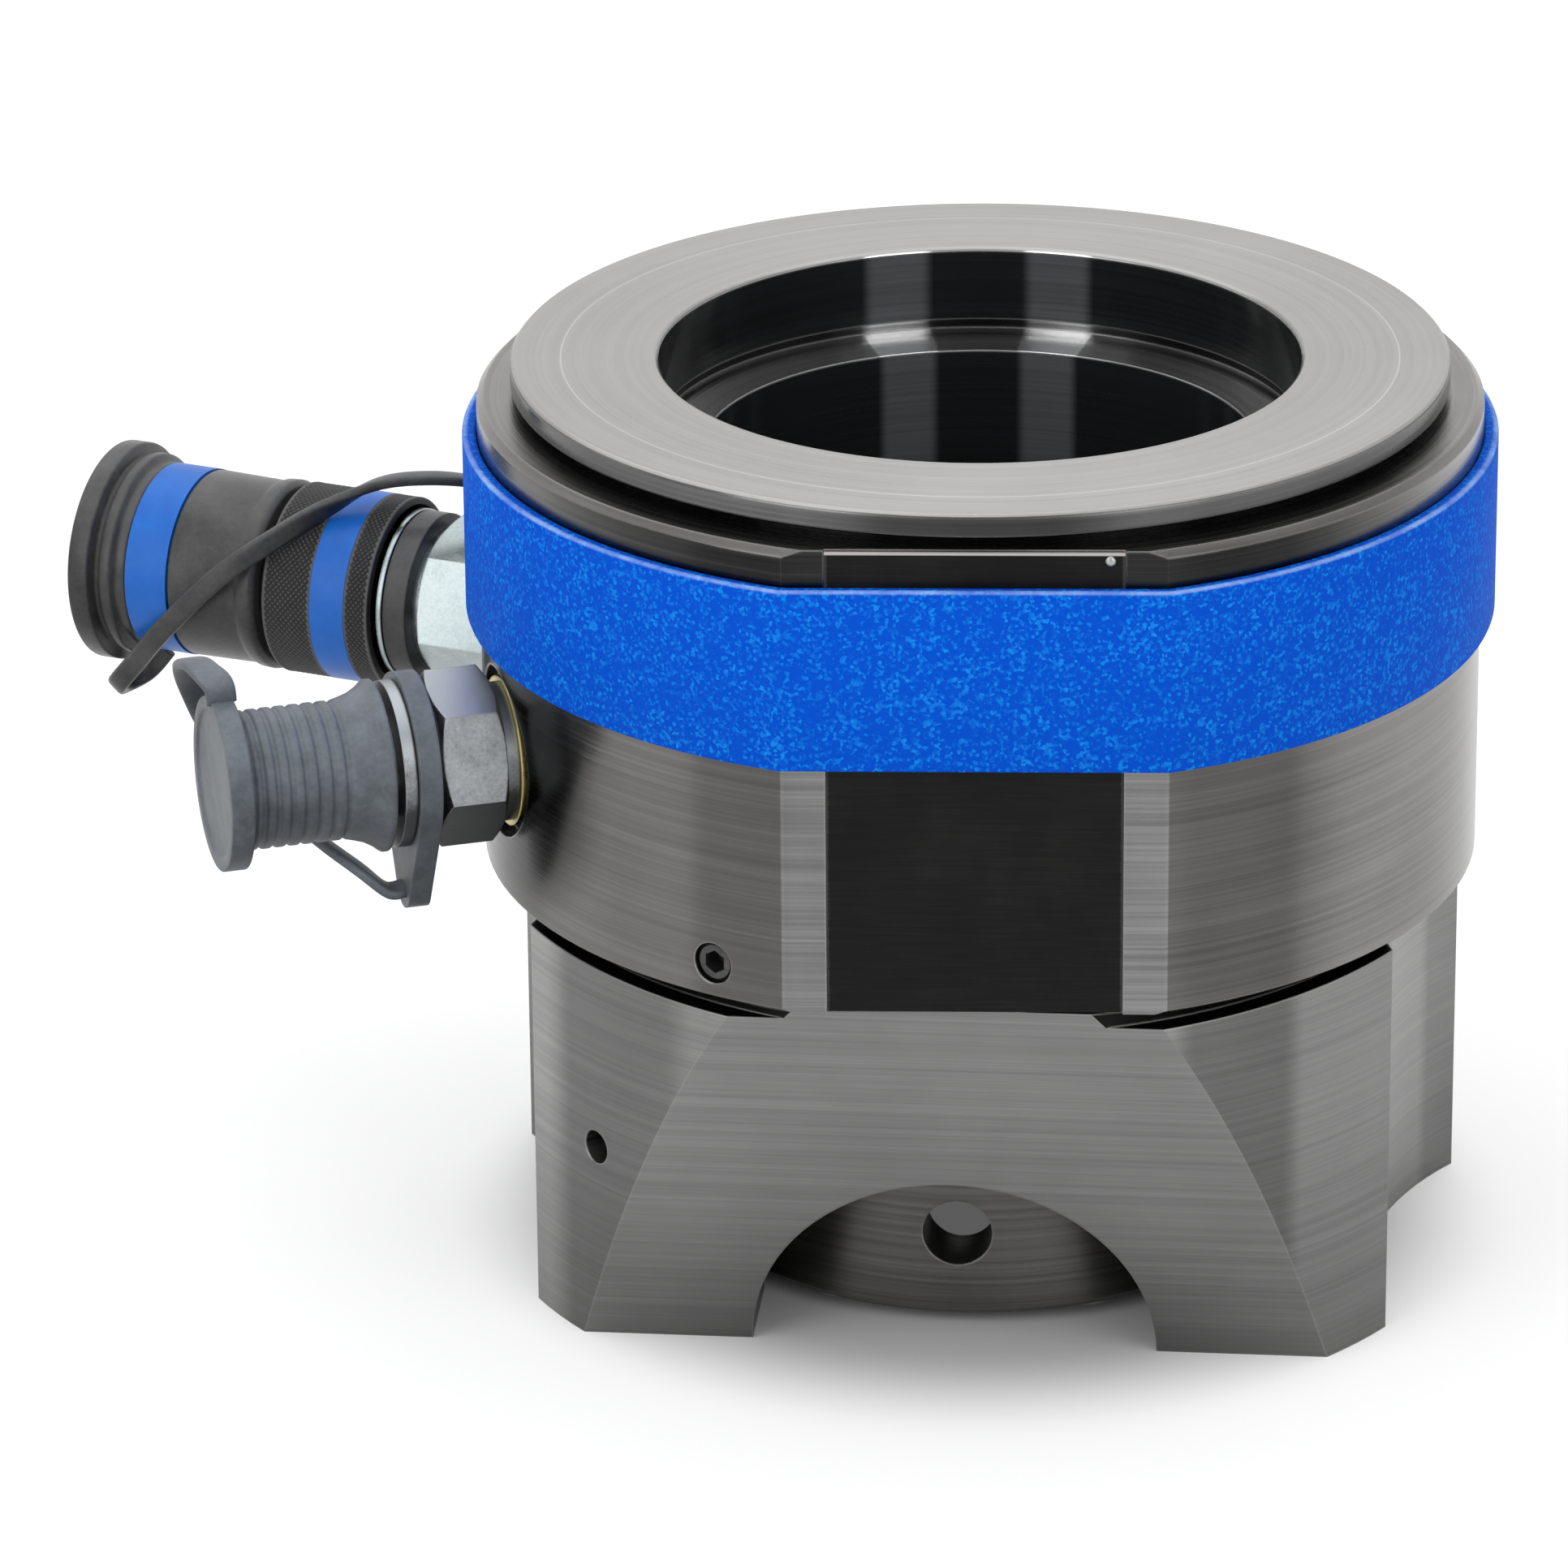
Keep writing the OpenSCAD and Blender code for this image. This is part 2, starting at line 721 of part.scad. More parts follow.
// Female coupler's body: thread stem, hexagon, strap seat, and the stem with probe socket and ball holes.
module coupler_body() {
    color(ZINC)
        along_port(coupler_angle, coupler_rise)
            difference() {
                union() {
                    rotate_extrude()
                        polygon([
                            [0, -thread_l], [thread_r - 0.6, -thread_l], [thread_r, -thread_l + 0.6],
                            [thread_r, seal_t], [hex_af / 2 - 0.6, seal_t], [hex_af / 2 - 0.6, neck_t],
                            [ring_seat_r, neck_t], [ring_seat_r, coupler_seat_end],
                            [ring_r + 0.2, coupler_seat_end], [ring_r + 0.2, coupler_flange_end],
                            [stem_r, coupler_flange_end],
                            [stem_r, spring_stop_at - 1.5], [spring_room_r - loose_fit, spring_stop_at - 1.5],
                            [spring_room_r - loose_fit, spring_stop_at], [stem_r, spring_stop_at],
                            [stem_r, snap_at], [stem_r - 0.8, snap_at], [stem_r - 0.8, snap_at + snap_t],
                            [stem_r, snap_at + snap_t], [stem_r, coupler_end - 1], [stem_r - 1, coupler_end],
                            [0, coupler_end]
                        ]);
                    hexagon(hex_af, neck_t, coupler_hex_end);
                }
                rotate_extrude()
                    polygon([
                        [0, -thread_l - more], [valve_r, -thread_l - more], [valve_r, socket_at - 2.2],
                        [valve_seat_r, socket_at - 1], [valve_seat_r, socket_at],
                        [probe_socket_r, socket_at], [probe_socket_r, coupler_end - 1],
                        [probe_socket_r + 1, coupler_end], [probe_socket_r + 1, coupler_end + more],
                        [0, coupler_end + more]
                    ]);
                for (i = [0:ball_count - 1])
                    rotate([0, 0, 360 * i / ball_count])
                        translate([0, 0, ball_at])
                            rotate([0, 90, 0])
                                cylinder(h = 2 * stem_r, r = ball_r + run_fit);
            }
}

// Rubber ring that ties the coupler's strap, with a lobe at the top.
module coupler_strap_ring() {
    color(BLACK)
        along_port(coupler_angle, coupler_rise)
            translate([0, 0, coupler_ring_at])
                difference() {
                    union() {
                        cylinder(h = strap_ring_t, r = ring_r);
                        translate([-strap_w / 2 - 0.9, -coupler_lobe, 0])
                            cube([strap_w + 1.8, coupler_lobe, coupler_lobe_t]);
                        translate([0, -coupler_lobe, 0])
                            cylinder(h = coupler_lobe_t, r = strap_w / 2 + 0.9);
                    }
                    translate([0, 0, -more])
                        cylinder(h = strap_ring_t + 2 * more, r = ring_seat_r + seat_gap);
                }
}

// Locking sleeve: rear skirt over the coupler's flange, spring room, land on the stem, nose under the cap.
module coupler_sleeve() {
    band_floor = sleeve_r - 0.7;
    color(BLACK)
        along_port(coupler_angle, coupler_rise)
            rotate_extrude()
                polygon([
                    [sleeve_r - skirt_wall, sleeve_at], [sleeve_r - 0.3, sleeve_at], [sleeve_r, sleeve_at + 0.3],
                    [sleeve_r, sleeve_band_at], [band_floor, sleeve_band_at],
                    [band_floor, sleeve_band_end], [sleeve_r, sleeve_band_end],
                    [sleeve_r, sleeve_grip_end - 0.4], [sleeve_r - 0.4, sleeve_grip_end],
                    [nose_r, sleeve_grip_end], [nose_r, sleeve_end - 0.6], [nose_r - 0.6, sleeve_end],
                    [release_r, sleeve_end], [release_r, ball_at + sleeve_pull - 0.4],
                    [stem_r + run_fit, ball_at + ball_r + 0.4],
                    [stem_r + run_fit, sleeve_land_at], [spring_room_r, sleeve_land_at],
                    [spring_room_r, sleeve_at + sleeve_skirt_l],
                    [sleeve_r - skirt_wall, sleeve_at + sleeve_skirt_l]
                ]);
}

// Blue ring on the sleeve, bare.
module sleeve_band() {
    color(BLUE)
        along_port(coupler_angle, coupler_rise)
            ring(sleeve_r, sleeve_r - 0.7 + seat_gap, sleeve_band_at + seat_gap, sleeve_band_end - seat_gap);
}

// Spring that pushes the sleeve forward, between the body's stop and the sleeve's land.
module sleeve_spring() {
    color(ZINC)
        along_port(coupler_angle, coupler_rise)
            wire_spring((stem_r + spring_room_r) / 2, 0.5, spring_stop_at + 0.02, sleeve_land_at - 0.02, 3);
}

// Lock balls in the coupler body's radial holes.
module lock_balls() {
    color(ZINC)
        along_port(coupler_angle, coupler_rise)
            for (i = [0:ball_count - 1])
                rotate([0, 0, 360 * i / ball_count])
                    translate([stem_r - ball_r - 0.1, 0, ball_at])
                        sphere(r = ball_r);
}

// Snap ring that stops the sleeve at the front, split at one side.
module sleeve_snap_ring() {
    color(ZINC)
        along_port(coupler_angle, coupler_rise)
            difference() {
                ring(release_r + 0.5, stem_r - 0.8 + seat_gap, snap_at + seat_gap, snap_at + snap_t - seat_gap);
                translate([0, -0.8, snap_at - more])
                    cube([2 * stem_r, 1.6, snap_t + 2 * more]);
            }
}

// Valve poppet on Z: body with a conical nose and a pin that reaches through the seat.
module poppet(body_radius, hole_r, from, nose, pin_end) {
    pin_r = hole_r * 0.5;
    rotate_extrude()
        polygon([
            [0, from], [body_radius - 0.5, from], [body_radius, from + 0.5],
            [body_radius, nose - 1.6], [pin_r, nose], [pin_r, pin_end - 0.4], [pin_r - 0.4, pin_end], [0, pin_end]
        ]);
}

module coupler_poppet() {
    color(ZINC)
        along_port(coupler_angle, coupler_rise)
            poppet(valve_r - loose_fit, valve_seat_r, coupler_poppet_at, socket_at - 0.9, socket_at + 3.5);
}

module coupler_poppet_spring() {
    color(ZINC)
        along_port(coupler_angle, coupler_rise)
            wire_spring(valve_r - 1.3, 0.35, coupler_plug_at + plug_t + 0.02, coupler_poppet_at - 0.02, 4);
}

// Plug with an oil hole that closes the coupler's valve room and carries its spring.
module coupler_plug() {
    color(BRASS)
        along_port(coupler_angle, coupler_rise)
            ring(valve_r - seat_gap, oil_r, coupler_plug_at, coupler_plug_at + plug_t);
}

// Coupler's dust cap: rubber cup over the sleeve's nose, with plug and ribbed end flange.
module coupler_cap() {
    color(BLACK)
        along_port(coupler_angle, coupler_rise)
            rotate_extrude()
                polygon([
                    [nose_r + run_fit, cap_at], [cap_r - 0.6, cap_at], [cap_r, cap_at + 0.6],
                    [cap_r, cap_band_at], [cap_r - 0.7, cap_band_at], [cap_r - 0.7, cap_band_end],
                    [cap_r, cap_band_end], [cap_r, cap_end - 6.8], [cap_r + 1.2, cap_end - 6.2],
                    [cap_r + 1.2, cap_end - 4.6], [cap_r + 0.5, cap_end - 4.4], [cap_r + 0.5, cap_end - 3.6],
                    [flange_r, cap_end - 3.2], [flange_r, cap_end - 0.8], [flange_r - 0.8, cap_end],
                    [0, cap_end], [0, coupler_end - 8],
                    [probe_socket_r - loose_fit - 0.8, coupler_end - 8],
                    [probe_socket_r - loose_fit, coupler_end - 7.2],
                    [probe_socket_r - loose_fit, coupler_end + 1], [nose_r + run_fit, coupler_end + 1]
                ]);
}

// Blue ring on the cap, bare.
module cap_band() {
    color(BLUE)
        along_port(coupler_angle, coupler_rise)
            ring(cap_r + 0.1, cap_r - 0.7 + seat_gap, cap_band_at + seat_gap, cap_band_end - seat_gap);
}

// Coupler's strap: from the cap's flange, across the front of the cap, over the sleeve to the strap ring.
module coupler_strap() {
    over = sleeve_r + 1.9;
    under = -flange_r - 2.4;
    behind = -coupler_lobe - 1;
    color(BLACK)
        at_port(coupler_angle, coupler_rise)
            strap([
                [[cap_end - 8.7, 2.2, -cap_r - 1.2], [1, 0.3, 0]],
                [[cap_end - 5.9, 3.2, under + 1.2], [0.85, 0.1, 0.35]],
                [[cap_end - 3.6, 6.6, under], [0.7, 0, 0.6]],
                [[cap_end - 4.9, 10.8, under + 1.7], [0.7, 0.1, 0.7]],
                [[cap_end - 9, 12.8, -cap_r + 1.4], [0.7, 0.2, 0.7]],
                [[cap_end - 16, cap_r + 1.8, -4.8], [0.6, 0, 0.8]],
                [[cap_end - 25.5, cap_r + 1.8, 4.8], [0.6, 0, 0.8]],
                [[sleeve_grip_end - 2.9, 11.8, 11.2], [0.6, 0.4, 0.6]],
                [[sleeve_band_end - 0.5, 7.2, over - 1.4], [0.3, 0.7, 0.4]],
                [[sleeve_at + 3, 3.2, over + 1.7], [-0.4, 0.9, 0.1]],
                [[coupler_ring_at + 1.4, 0.2, over + 2.5], [-0.6, 0.75, 0]],
                [[coupler_ring_at - 4.8, -3.6, over + 1.4], [-0.85, 0.5, 0]],
                [[coupler_ring_at - 7.8, -9, over - 1.8], [-1, 0, 0]],
                [[coupler_ring_at - 8, -13.6, 9], [-1, 0, 0]],
                [[coupler_ring_at - 6.6, behind - 0.4, 4.2], [-0.9, 0, -0.4]],
                [[coupler_ring_at - 3.6, behind - 0.4, 0.9], [-0.4, 0, -0.9]],
                [[coupler_ring_at - 0.7, behind, 0], [0, 0, -1]]
            ], 6, strap_w);
}

// Male nipple's body: thread stem, collar, hexagon, strap seat, guard flange and probe.
module nipple_body() {
    color(ZINC)
        along_port(nipple_angle, nipple_rise)
            difference() {
                union() {
                    rotate_extrude()
                        polygon([
                            [0, -thread_l], [thread_r - 0.6, -thread_l], [thread_r, -thread_l + 0.6],
                            [thread_r, seal_t], [hex_af / 2 - 1, seal_t], [hex_af / 2 - 1, nipple_collar_end],
                            [nipple_neck_r, nipple_collar_end], [nipple_neck_r, nipple_ring_end + 0.2],
                            [ring_r - 0.6, nipple_ring_end + 0.2], [ring_r - 0.6, nipple_flange_end],
                            [probe_root_r, nipple_flange_end], [probe_root_r, nipple_flange_end + 6],
                            [probe_r, nipple_flange_end + 7],
                            [probe_r, probe_end - 7], [probe_r - 0.8, probe_end - 6.4],
                            [probe_r - 0.8, probe_end - 4.6], [probe_r, probe_end - 4],
                            [probe_r, probe_end - 1], [probe_r - 1, probe_end], [0, probe_end]
                        ]);
                    hexagon(hex_af, nipple_collar_end, nipple_hex_end);
                }
                rotate_extrude()
                    polygon([
                        [0, -thread_l - more], [nipple_valve_r, -thread_l - more],
                        [nipple_valve_r, probe_end - 2.2], [nipple_valve_seat_r, probe_end - 1],
                        [nipple_valve_seat_r, probe_end + more], [0, probe_end + more]
                    ]);
            }
}

// Flat tear-drop ring of the nipple's strap, lobe hanging down.
module nipple_strap_ring() {
    lobe_r = 4.2;
    outer = disc_r + 0.4;
    // Angle at which a common tangent of ring and lobe leaves their centre line
    tangent = acos((outer - lobe_r) / lobe_reach);
    color(RUBBER)
        along_port(nipple_angle, nipple_rise)
            translate([0, 0, nipple_ring_at])
                difference() {
                    union() {
                        cylinder(h = nipple_ring_t, r = outer);
                        translate([lobe_reach, 0, 0])
                            cylinder(h = nipple_ring_t, r = lobe_r);
                        linear_extrude(height = nipple_ring_t)
                            polygon([
                                [outer * cos(tangent), outer * sin(tangent)],
                                [outer * cos(tangent), -outer * sin(tangent)],
                                [lobe_reach + lobe_r * cos(tangent), -lobe_r * sin(tangent)],
                                [lobe_reach + lobe_r * cos(tangent), lobe_r * sin(tangent)]
                            ]);
                    }
                    translate([0, 0, -more])
                        cylinder(h = nipple_ring_t + 2 * more, r = nipple_neck_r + seat_gap);
                }
}

module nipple_poppet() {
    color(ZINC)
        along_port(nipple_angle, nipple_rise)
            poppet(nipple_valve_r - loose_fit, nipple_valve_seat_r, nipple_poppet_at, probe_end - 0.9,
                probe_end + 1.6);
}

module nipple_poppet_spring() {
    color(ZINC)
        along_port(nipple_angle, nipple_rise)
            wire_spring(nipple_valve_r - 1, 0.3, nipple_plug_at + plug_t + 0.02, nipple_poppet_at - 0.02, 5);
}

// Plug with an oil hole that closes the nipple's valve room and carries its spring.
module nipple_plug() {
    color(BRASS)
        along_port(nipple_angle, nipple_rise)
            ring(nipple_valve_r - seat_gap, oil_r - 0.6, nipple_plug_at, nipple_plug_at + plug_t);
}

// Nipple's dust cap: ribbed rubber cup with flared mouth and end disc.
module nipple_cap() {
    rib_pitch = (nipple_cap_end - disc_t - 1.1 - rib_at) / rib_count;
    grooves = [
        for (i = [0:rib_count - 1])
            let (t = rib_at + rib_pitch * (i + 0.5))
                each [
                    [ribbed_r, t - 0.5], [ribbed_r - 0.6, t - 0.25],
                    [ribbed_r - 0.6, t + 0.25], [ribbed_r, t + 0.5]
                ]
    ];
    mouth = probe_root_r + run_fit;
    color(RUBBER)
        along_port(nipple_angle, nipple_rise)
            rotate_extrude()
                polygon(concat(
                    [[mouth, nipple_cap_at], [flare_r, nipple_cap_at], [flare_r, nipple_cap_at + 0.8],
                        [ribbed_r, rib_at]],
                    grooves,
                    [[ribbed_r, nipple_cap_end - disc_t - 1.1], [ribbed_r - 0.5, nipple_cap_end - disc_t - 0.9],
                        [ribbed_r - 0.5, nipple_cap_end - disc_t],
                        [disc_r, nipple_cap_end - disc_t], [disc_r, nipple_cap_end - 0.5],
                        [disc_r - 0.5, nipple_cap_end], [0, nipple_cap_end],
                        [0, probe_end + 2.2], [mouth, probe_end + 2.2]]
                ));
}

// Nipple's strap: from the ring's lobe, up behind the cap, and over to the top of the end disc.
module nipple_strap() {
    low = -lobe_reach - 1.4;
    ring_front = nipple_ring_end;
    disc_middle = nipple_cap_end - disc_t / 2;
    color(RUBBER)
        at_port(nipple_angle, nipple_rise)
            strap([
                [[ring_front + 0.2, 0, low], [0, 1, 0]],
                [[ring_front + 2.4, 0, low], [0, 1, 0]],
                [[ring_front + 6, -1.6, low + 3], [0.3, 1, 0.2]],
                [[ring_front + 11.5, -7, -12.4], [0.5, 0.8, 0.4]],
                [[ring_front + 17.5, -13.6, -6.5], [0.7, 0.3, 0.6]],
                [[nipple_cap_end - 4.5, -17.2, 1], [1, 0, 0.3]],
                [[nipple_cap_end - 1, -15.6, 9], [1, 0, 0]],
                [[nipple_cap_end + 0.8, -10.5, disc_r + 1.6], [1, 0, 0]],
                [[nipple_cap_end + 0.8, -5.4, disc_r + 3.8], [1, 0, 0]],
                [[nipple_cap_end, -2.2, disc_r + 3.6], [1, 0, 0]],
                [[disc_middle + 0.3, -0.2, disc_r + 2.1], [1, 0, 0]],
                [[disc_middle, 0, disc_r + 0.5], [1, 0, 0]]
            ], 8, nipple_strap_w);
}

bridge();
nut_rotator();
cylinder_body();
rating_plate();
grip_band();
grub_screw_1();
grub_screw_2();
grub_screw_3();
rod_seal();
rod_backup_ring();
piston();
piston_guide_ring();
piston_seal();
piston_backup_ring();
coupler_body();
coupler_bonded_seal();
coupler_strap_ring();
coupler_sleeve();
sleeve_band();
sleeve_spring();
lock_balls();
sleeve_snap_ring();
coupler_poppet();
coupler_poppet_spring();
coupler_plug();
coupler_cap();
cap_band();
coupler_strap();
nipple_body();
nipple_bonded_seal();
nipple_strap_ring();
nipple_poppet();
nipple_poppet_spring();
nipple_plug();
nipple_cap();
nipple_strap();
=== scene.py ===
# Hydraulic bolt tensioner: a hollow ring cylinder on a windowed bridge, with two capped hose ports.
# Metres, +Z up, foot of the bridge at z = 0, rating plate towards -Y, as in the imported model.
import math

import bmesh
import bpy
from mathutils import Matrix, Vector


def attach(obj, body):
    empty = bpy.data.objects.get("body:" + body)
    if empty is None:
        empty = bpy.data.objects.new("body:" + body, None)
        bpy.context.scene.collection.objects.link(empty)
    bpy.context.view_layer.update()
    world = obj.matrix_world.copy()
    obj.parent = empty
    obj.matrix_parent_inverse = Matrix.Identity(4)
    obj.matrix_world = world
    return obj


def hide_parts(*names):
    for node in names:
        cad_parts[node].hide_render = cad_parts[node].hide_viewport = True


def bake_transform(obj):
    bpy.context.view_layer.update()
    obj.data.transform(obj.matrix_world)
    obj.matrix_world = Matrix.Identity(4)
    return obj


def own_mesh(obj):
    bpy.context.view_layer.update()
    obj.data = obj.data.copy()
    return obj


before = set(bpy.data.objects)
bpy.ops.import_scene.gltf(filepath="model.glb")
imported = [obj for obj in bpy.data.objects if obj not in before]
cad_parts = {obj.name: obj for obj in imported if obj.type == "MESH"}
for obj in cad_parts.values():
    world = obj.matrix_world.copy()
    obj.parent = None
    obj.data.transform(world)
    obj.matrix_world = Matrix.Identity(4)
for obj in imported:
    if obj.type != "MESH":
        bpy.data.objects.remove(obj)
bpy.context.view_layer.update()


# Bridge: the steel foot that carries the load cell over the nut. It is turned from one blank, so
# fine lathe marks run round it, and its sloping front is milled straight across and left bare.
class Wire:
    """A shader socket that takes part in sums and feeds further nodes."""

    def __init__(self, socket):
        self.socket = socket

    def node(self, kind, settings=None, inputs=None, out=0):
        """Adds a node of this type to the same tree: first its settings, then its sockets."""
        tree = self.socket.id_data
        made = tree.nodes.new(kind)
        for name, value in (settings or {}).items():
            setattr(made, name, value)
        for name, value in (inputs or {}).items():
            if isinstance(value, Wire):
                tree.links.new(value.socket, made.inputs[name])
            else:
                made.inputs[name].default_value = value
        return Wire(made.outputs[out])

    def beside(self, out):
        """Another output of the same node."""
        return Wire(self.socket.node.outputs[out])

    def maths(self, operation, first, second=0.0):
        return self.node("ShaderNodeMath", {"operation": operation}, {0: first, 1: second})

    def __add__(self, other):
        return self.maths("ADD", self, other)

    def __sub__(self, other):
        return self.maths("SUBTRACT", self, other)

    def __rsub__(self, other):
        return self.maths("SUBTRACT", other, self)

    def __mul__(self, other):
        return self.maths("MULTIPLY", self, other)

    def __truediv__(self, other):
        return self.maths("DIVIDE", self, other)

    def __pow__(self, other):
        return self.maths("POWER", self, other)

    def __abs__(self):
        return self.maths("ABSOLUTE", self)

    __radd__ = __add__
    __rmul__ = __mul__

    def rise(self, low, high):
        """0 below low, 1 above high, smooth between them."""
        sockets = {"Value": self, "From Min": low, "From Max": high}
        return self.node("ShaderNodeMapRange", {"interpolation_type": "SMOOTHSTEP"}, sockets)

    def tint(self, first, second):
        """A colour between two others, by this value."""
        return self.node("ShaderNodeMix", {"data_type": "RGBA"}, {0: self, 6: first, 7: second}, 2)

    def part(self, name):
        """One part of a vector: X, Y or Z."""
        return self.node("ShaderNodeSeparateXYZ", None, {"Vector": self}, name)

    def grain(self, size, detail=3.0, rough=0.6):
        """Noise on this place, with grains of that size in metres."""
        sockets = {"Vector": self, "Scale": 1 / size, "Detail": detail, "Roughness": rough}
        return self.node("ShaderNodeTexNoise", None, sockets)


def new_finish(name, constants):
    """A material with the constants set on its shader, and the wire of the Object coordinates."""
    material = bpy.data.materials.new(name)
    material.use_nodes = True
    shader = material.node_tree.nodes["Principled BSDF"]
    for socket, value in constants.items():
        shader.inputs[socket].default_value = value
    place = Wire(material.node_tree.nodes.new("ShaderNodeTexCoord").outputs["Object"])
    return material, place


def feed(material, **wires):
    """Links wires to the shader's sockets; underscores stand for spaces."""
    shader = material.node_tree.nodes["Principled BSDF"]
    for name, wire in wires.items():
        material.node_tree.links.new(wire.socket, shader.inputs[name.replace("_", " ")])


def bumped(place, height, strength, depth, normal=None):
    """The normal of a surface with this height in it."""
    sockets = {"Height": height, "Strength": strength, "Distance": depth}
    if normal is not None:
        sockets["Normal"] = normal
    return place.node("ShaderNodeBump", None, sockets)


def rounded(place, radius, full=0.2):
    """The normal, the normal with its corners rounded, and a mask that is 1 on the corners."""
    surface = place.node("ShaderNodeNewGeometry", out="Normal")
    soft = place.node("ShaderNodeBevel", {"samples": 4}, {"Radius": radius})
    sockets = {0: soft, 1: surface}
    turn = soft.node("ShaderNodeVectorMath", {"operation": "DOT_PRODUCT"}, sockets, "Value")
    return surface, soft, (1 - turn).rise(0.02, full)


def on_walls(at):
    """1 on upright walls."""
    return at["upright"]


def machined_steel(name, tones, rough, zones=(), glints=(), glinting=on_walls, mark=0.0004, bite=0.2):
    """Bare steel with lathe marks round the tool axis and a painted highlight line on each edge.

    A mask is a function of the place that gives 0 to 1. A zone is (mask, tones, rough, metal), another
    finish, or painted shade, where its mask is 1. A glint is (heading, spread, gain), a painted
    highlight:
    where the mask glinting is 1, what lies on this heading is painted brighter by the gain, or painted
    darker as shade if it is negative.
    """
    constants = {"Metallic": 1.0, "Anisotropic": 0.5, "Anisotropic Rotation": 0.25}
    material, place = new_finish(name, constants)
    x = place.part("X")
    y, z = x.beside("Y"), x.beside("Z")
    reach = (x * x + y * y) ** 0.5
    surface, soft, corner = rounded(place, 0.0005)
    tilt = abs(surface.part("Z"))
    level = tilt.rise(0.55, 0.75)
    at = {"x": x, "y": y, "z": z, "reach": reach, "level": level, "upright": tilt.rise(0.2, 0.08)}
    stretched = {"X": x * 0.005, "Y": y * 0.005, "Z": z + level * (reach - z)}
    line = place.node("ShaderNodeCombineXYZ", None, stretched)
    coarse = line.grain(mark * 4, 2.0)
    fine = line.grain(mark, 3.0)
    cloud = place.grain(0.03, 3.0)
    tone = (coarse * 0.35 + fine * 0.45 + cloud * 0.35).rise(0.3, 0.9)
    base = tone.tint(*tones)
    roughness = rough + (fine - 0.5) * 0.14 + (cloud - 0.5) * 0.1
    metal = 1.0
    for mask, zone_tones, zone_rough, zone_metal in zones:
        here = mask(at)
        base = here.tint(base, tone.tint(*zone_tones))
        roughness = roughness + here * (zone_rough - rough)
        if zone_metal != metal:
            metal = metal + here * (zone_metal - metal)
    # Painted highlights and painted shade by heading, standing in for the lamps' reflections.
    for heading, spread, gain in glints:
        angle = math.radians(heading)
        toward = (x * math.sin(angle) - y * math.cos(angle)) / reach
        edge, full = math.cos(math.radians(spread)), math.cos(math.radians(spread * 0.6))
        sockets = {0: base, "Scale": 1 + toward.rise(edge, full) * glinting(at) * gain}
        base = place.node("ShaderNodeVectorMath", {"operation": "SCALE"}, sockets)
    feed(
        material,
        # Painted highlight: the corners are tinted pale, a thin bright line on each edge.
        Base_Color=(corner * 0.55).tint(base, (0.46, 0.45, 0.44, 1)),
        Roughness=roughness,
        Normal=bumped(place, fine * 0.6 + coarse * 0.4, bite, mark * 0.3, soft),
    )
    if isinstance(metal, Wire):
        feed(material, Metallic=metal)
    return material


def grey(low, high, warm=0.03):
    """Dark and light tone of a steel, a little warmer than neutral."""
    return [(v * (1 + warm), v, v * (1 - warm), 1) for v in (low, high)]


def dress(material, *names):
    """Gives CAD nodes this material."""
    for name in names:
        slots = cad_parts[name].data.materials
        slots.clear()
        slots.append(material)


BRIDGE_BORE = 0.0433
GAP_WALL = 0.0692
GAP_FLOOR = 0.055


def joint_gap(at):
    """1 on the floor and the inner wall of the crescent gap under the load cell, where shade is painted
    in.
    """
    inside = at["reach"].rise(GAP_WALL + 0.0004, GAP_WALL) * at["upright"] + at["level"]
    return inside * at["z"].rise(GAP_FLOOR, GAP_FLOOR + 0.0015) * (0 - at["y"]).rise(0.02, 0.03)


bridge_steel = machined_steel(
    "bridge_steel",
    grey(0.17, 0.265, 0.01),
    0.36,
    [
        # Painted shade: darker towards the foot.
        (lambda at: at["z"].rise(0.045, 0.0) * 0.7, grey(0.1, 0.16, 0.01), 0.36, 1.0),
        # Painted shade inside the bore.
        (lambda at: at["reach"].rise(BRIDGE_BORE + 0.0003, BRIDGE_BORE), grey(0.03, 0.08), 0.4, 1.0),
        # Painted shadow: the gap under the load cell is nearly black.
        (joint_gap, grey(0.006, 0.014), 0.4, 1.0),
    ],
    # Painted highlights and painted shade on the walls, by heading.
    [(-62, 9, 0.35), (-46, 13, -0.3), (31, 9, -0.4), (92, 6, 0.4)],
    bite=0.14,
)
dress(bridge_steel, "bridge")


# Nut rotator: the hexagon socket that turns the nut, hung inside the bridge by its collar.
# Turned and broached steel with an oily dark finish; its tommy-bar holes show through the window.
rotator_steel = machined_steel("rotator_steel", grey(0.06, 0.16), 0.4, mark=0.0006)
dress(rotator_steel, "nut_rotator")


# Cylinder body: thick turned ring with the oil chamber, a milled flat and two spot-faced ports.
# Warm brown-grey lathe finish; the flat shows bright straight cutter marks beside the plate.
BODY_R = 0.072
BAND_TOP, BAND_FOOT = 0.1234, 0.0969
FLAT = 0.067
COUPLER_ANGLE, COUPLER_Z = 158.0, 0.08352
NIPPLE_ANGLE, NIPPLE_Z = 198.0, 0.08102
SPOT_FACE = 0.0694


def port_reflection(at):
    """Up to 0.85 in a painted dark reflection and shade round the lower port, fading outwards."""
    turn = math.radians(NIPPLE_ANGLE)
    aside = at["y"] * math.cos(turn) - at["x"] * math.sin(turn)
    rise = (at["z"] - NIPPLE_Z) * 1.3
    away = (aside * aside + rise * rise) ** 0.5
    return away.rise(0.033, 0.022) * (0 - at["x"]).rise(0.0, 0.01) * 0.85


def front(at):
    """1 towards the plate, falling to 0 at the sides."""
    return (0 - at["y"] / at["reach"]).rise(0.2, 0.9)


def top_face(at):
    """1 on the body's top face and its chamfer."""
    return at["level"] * at["z"].rise(0.12, 0.122)


def rim(at):
    """1 on the wall above the grip band."""
    return at["z"].rise(BAND_TOP - 0.0004, BAND_TOP) * (1 - at["level"])


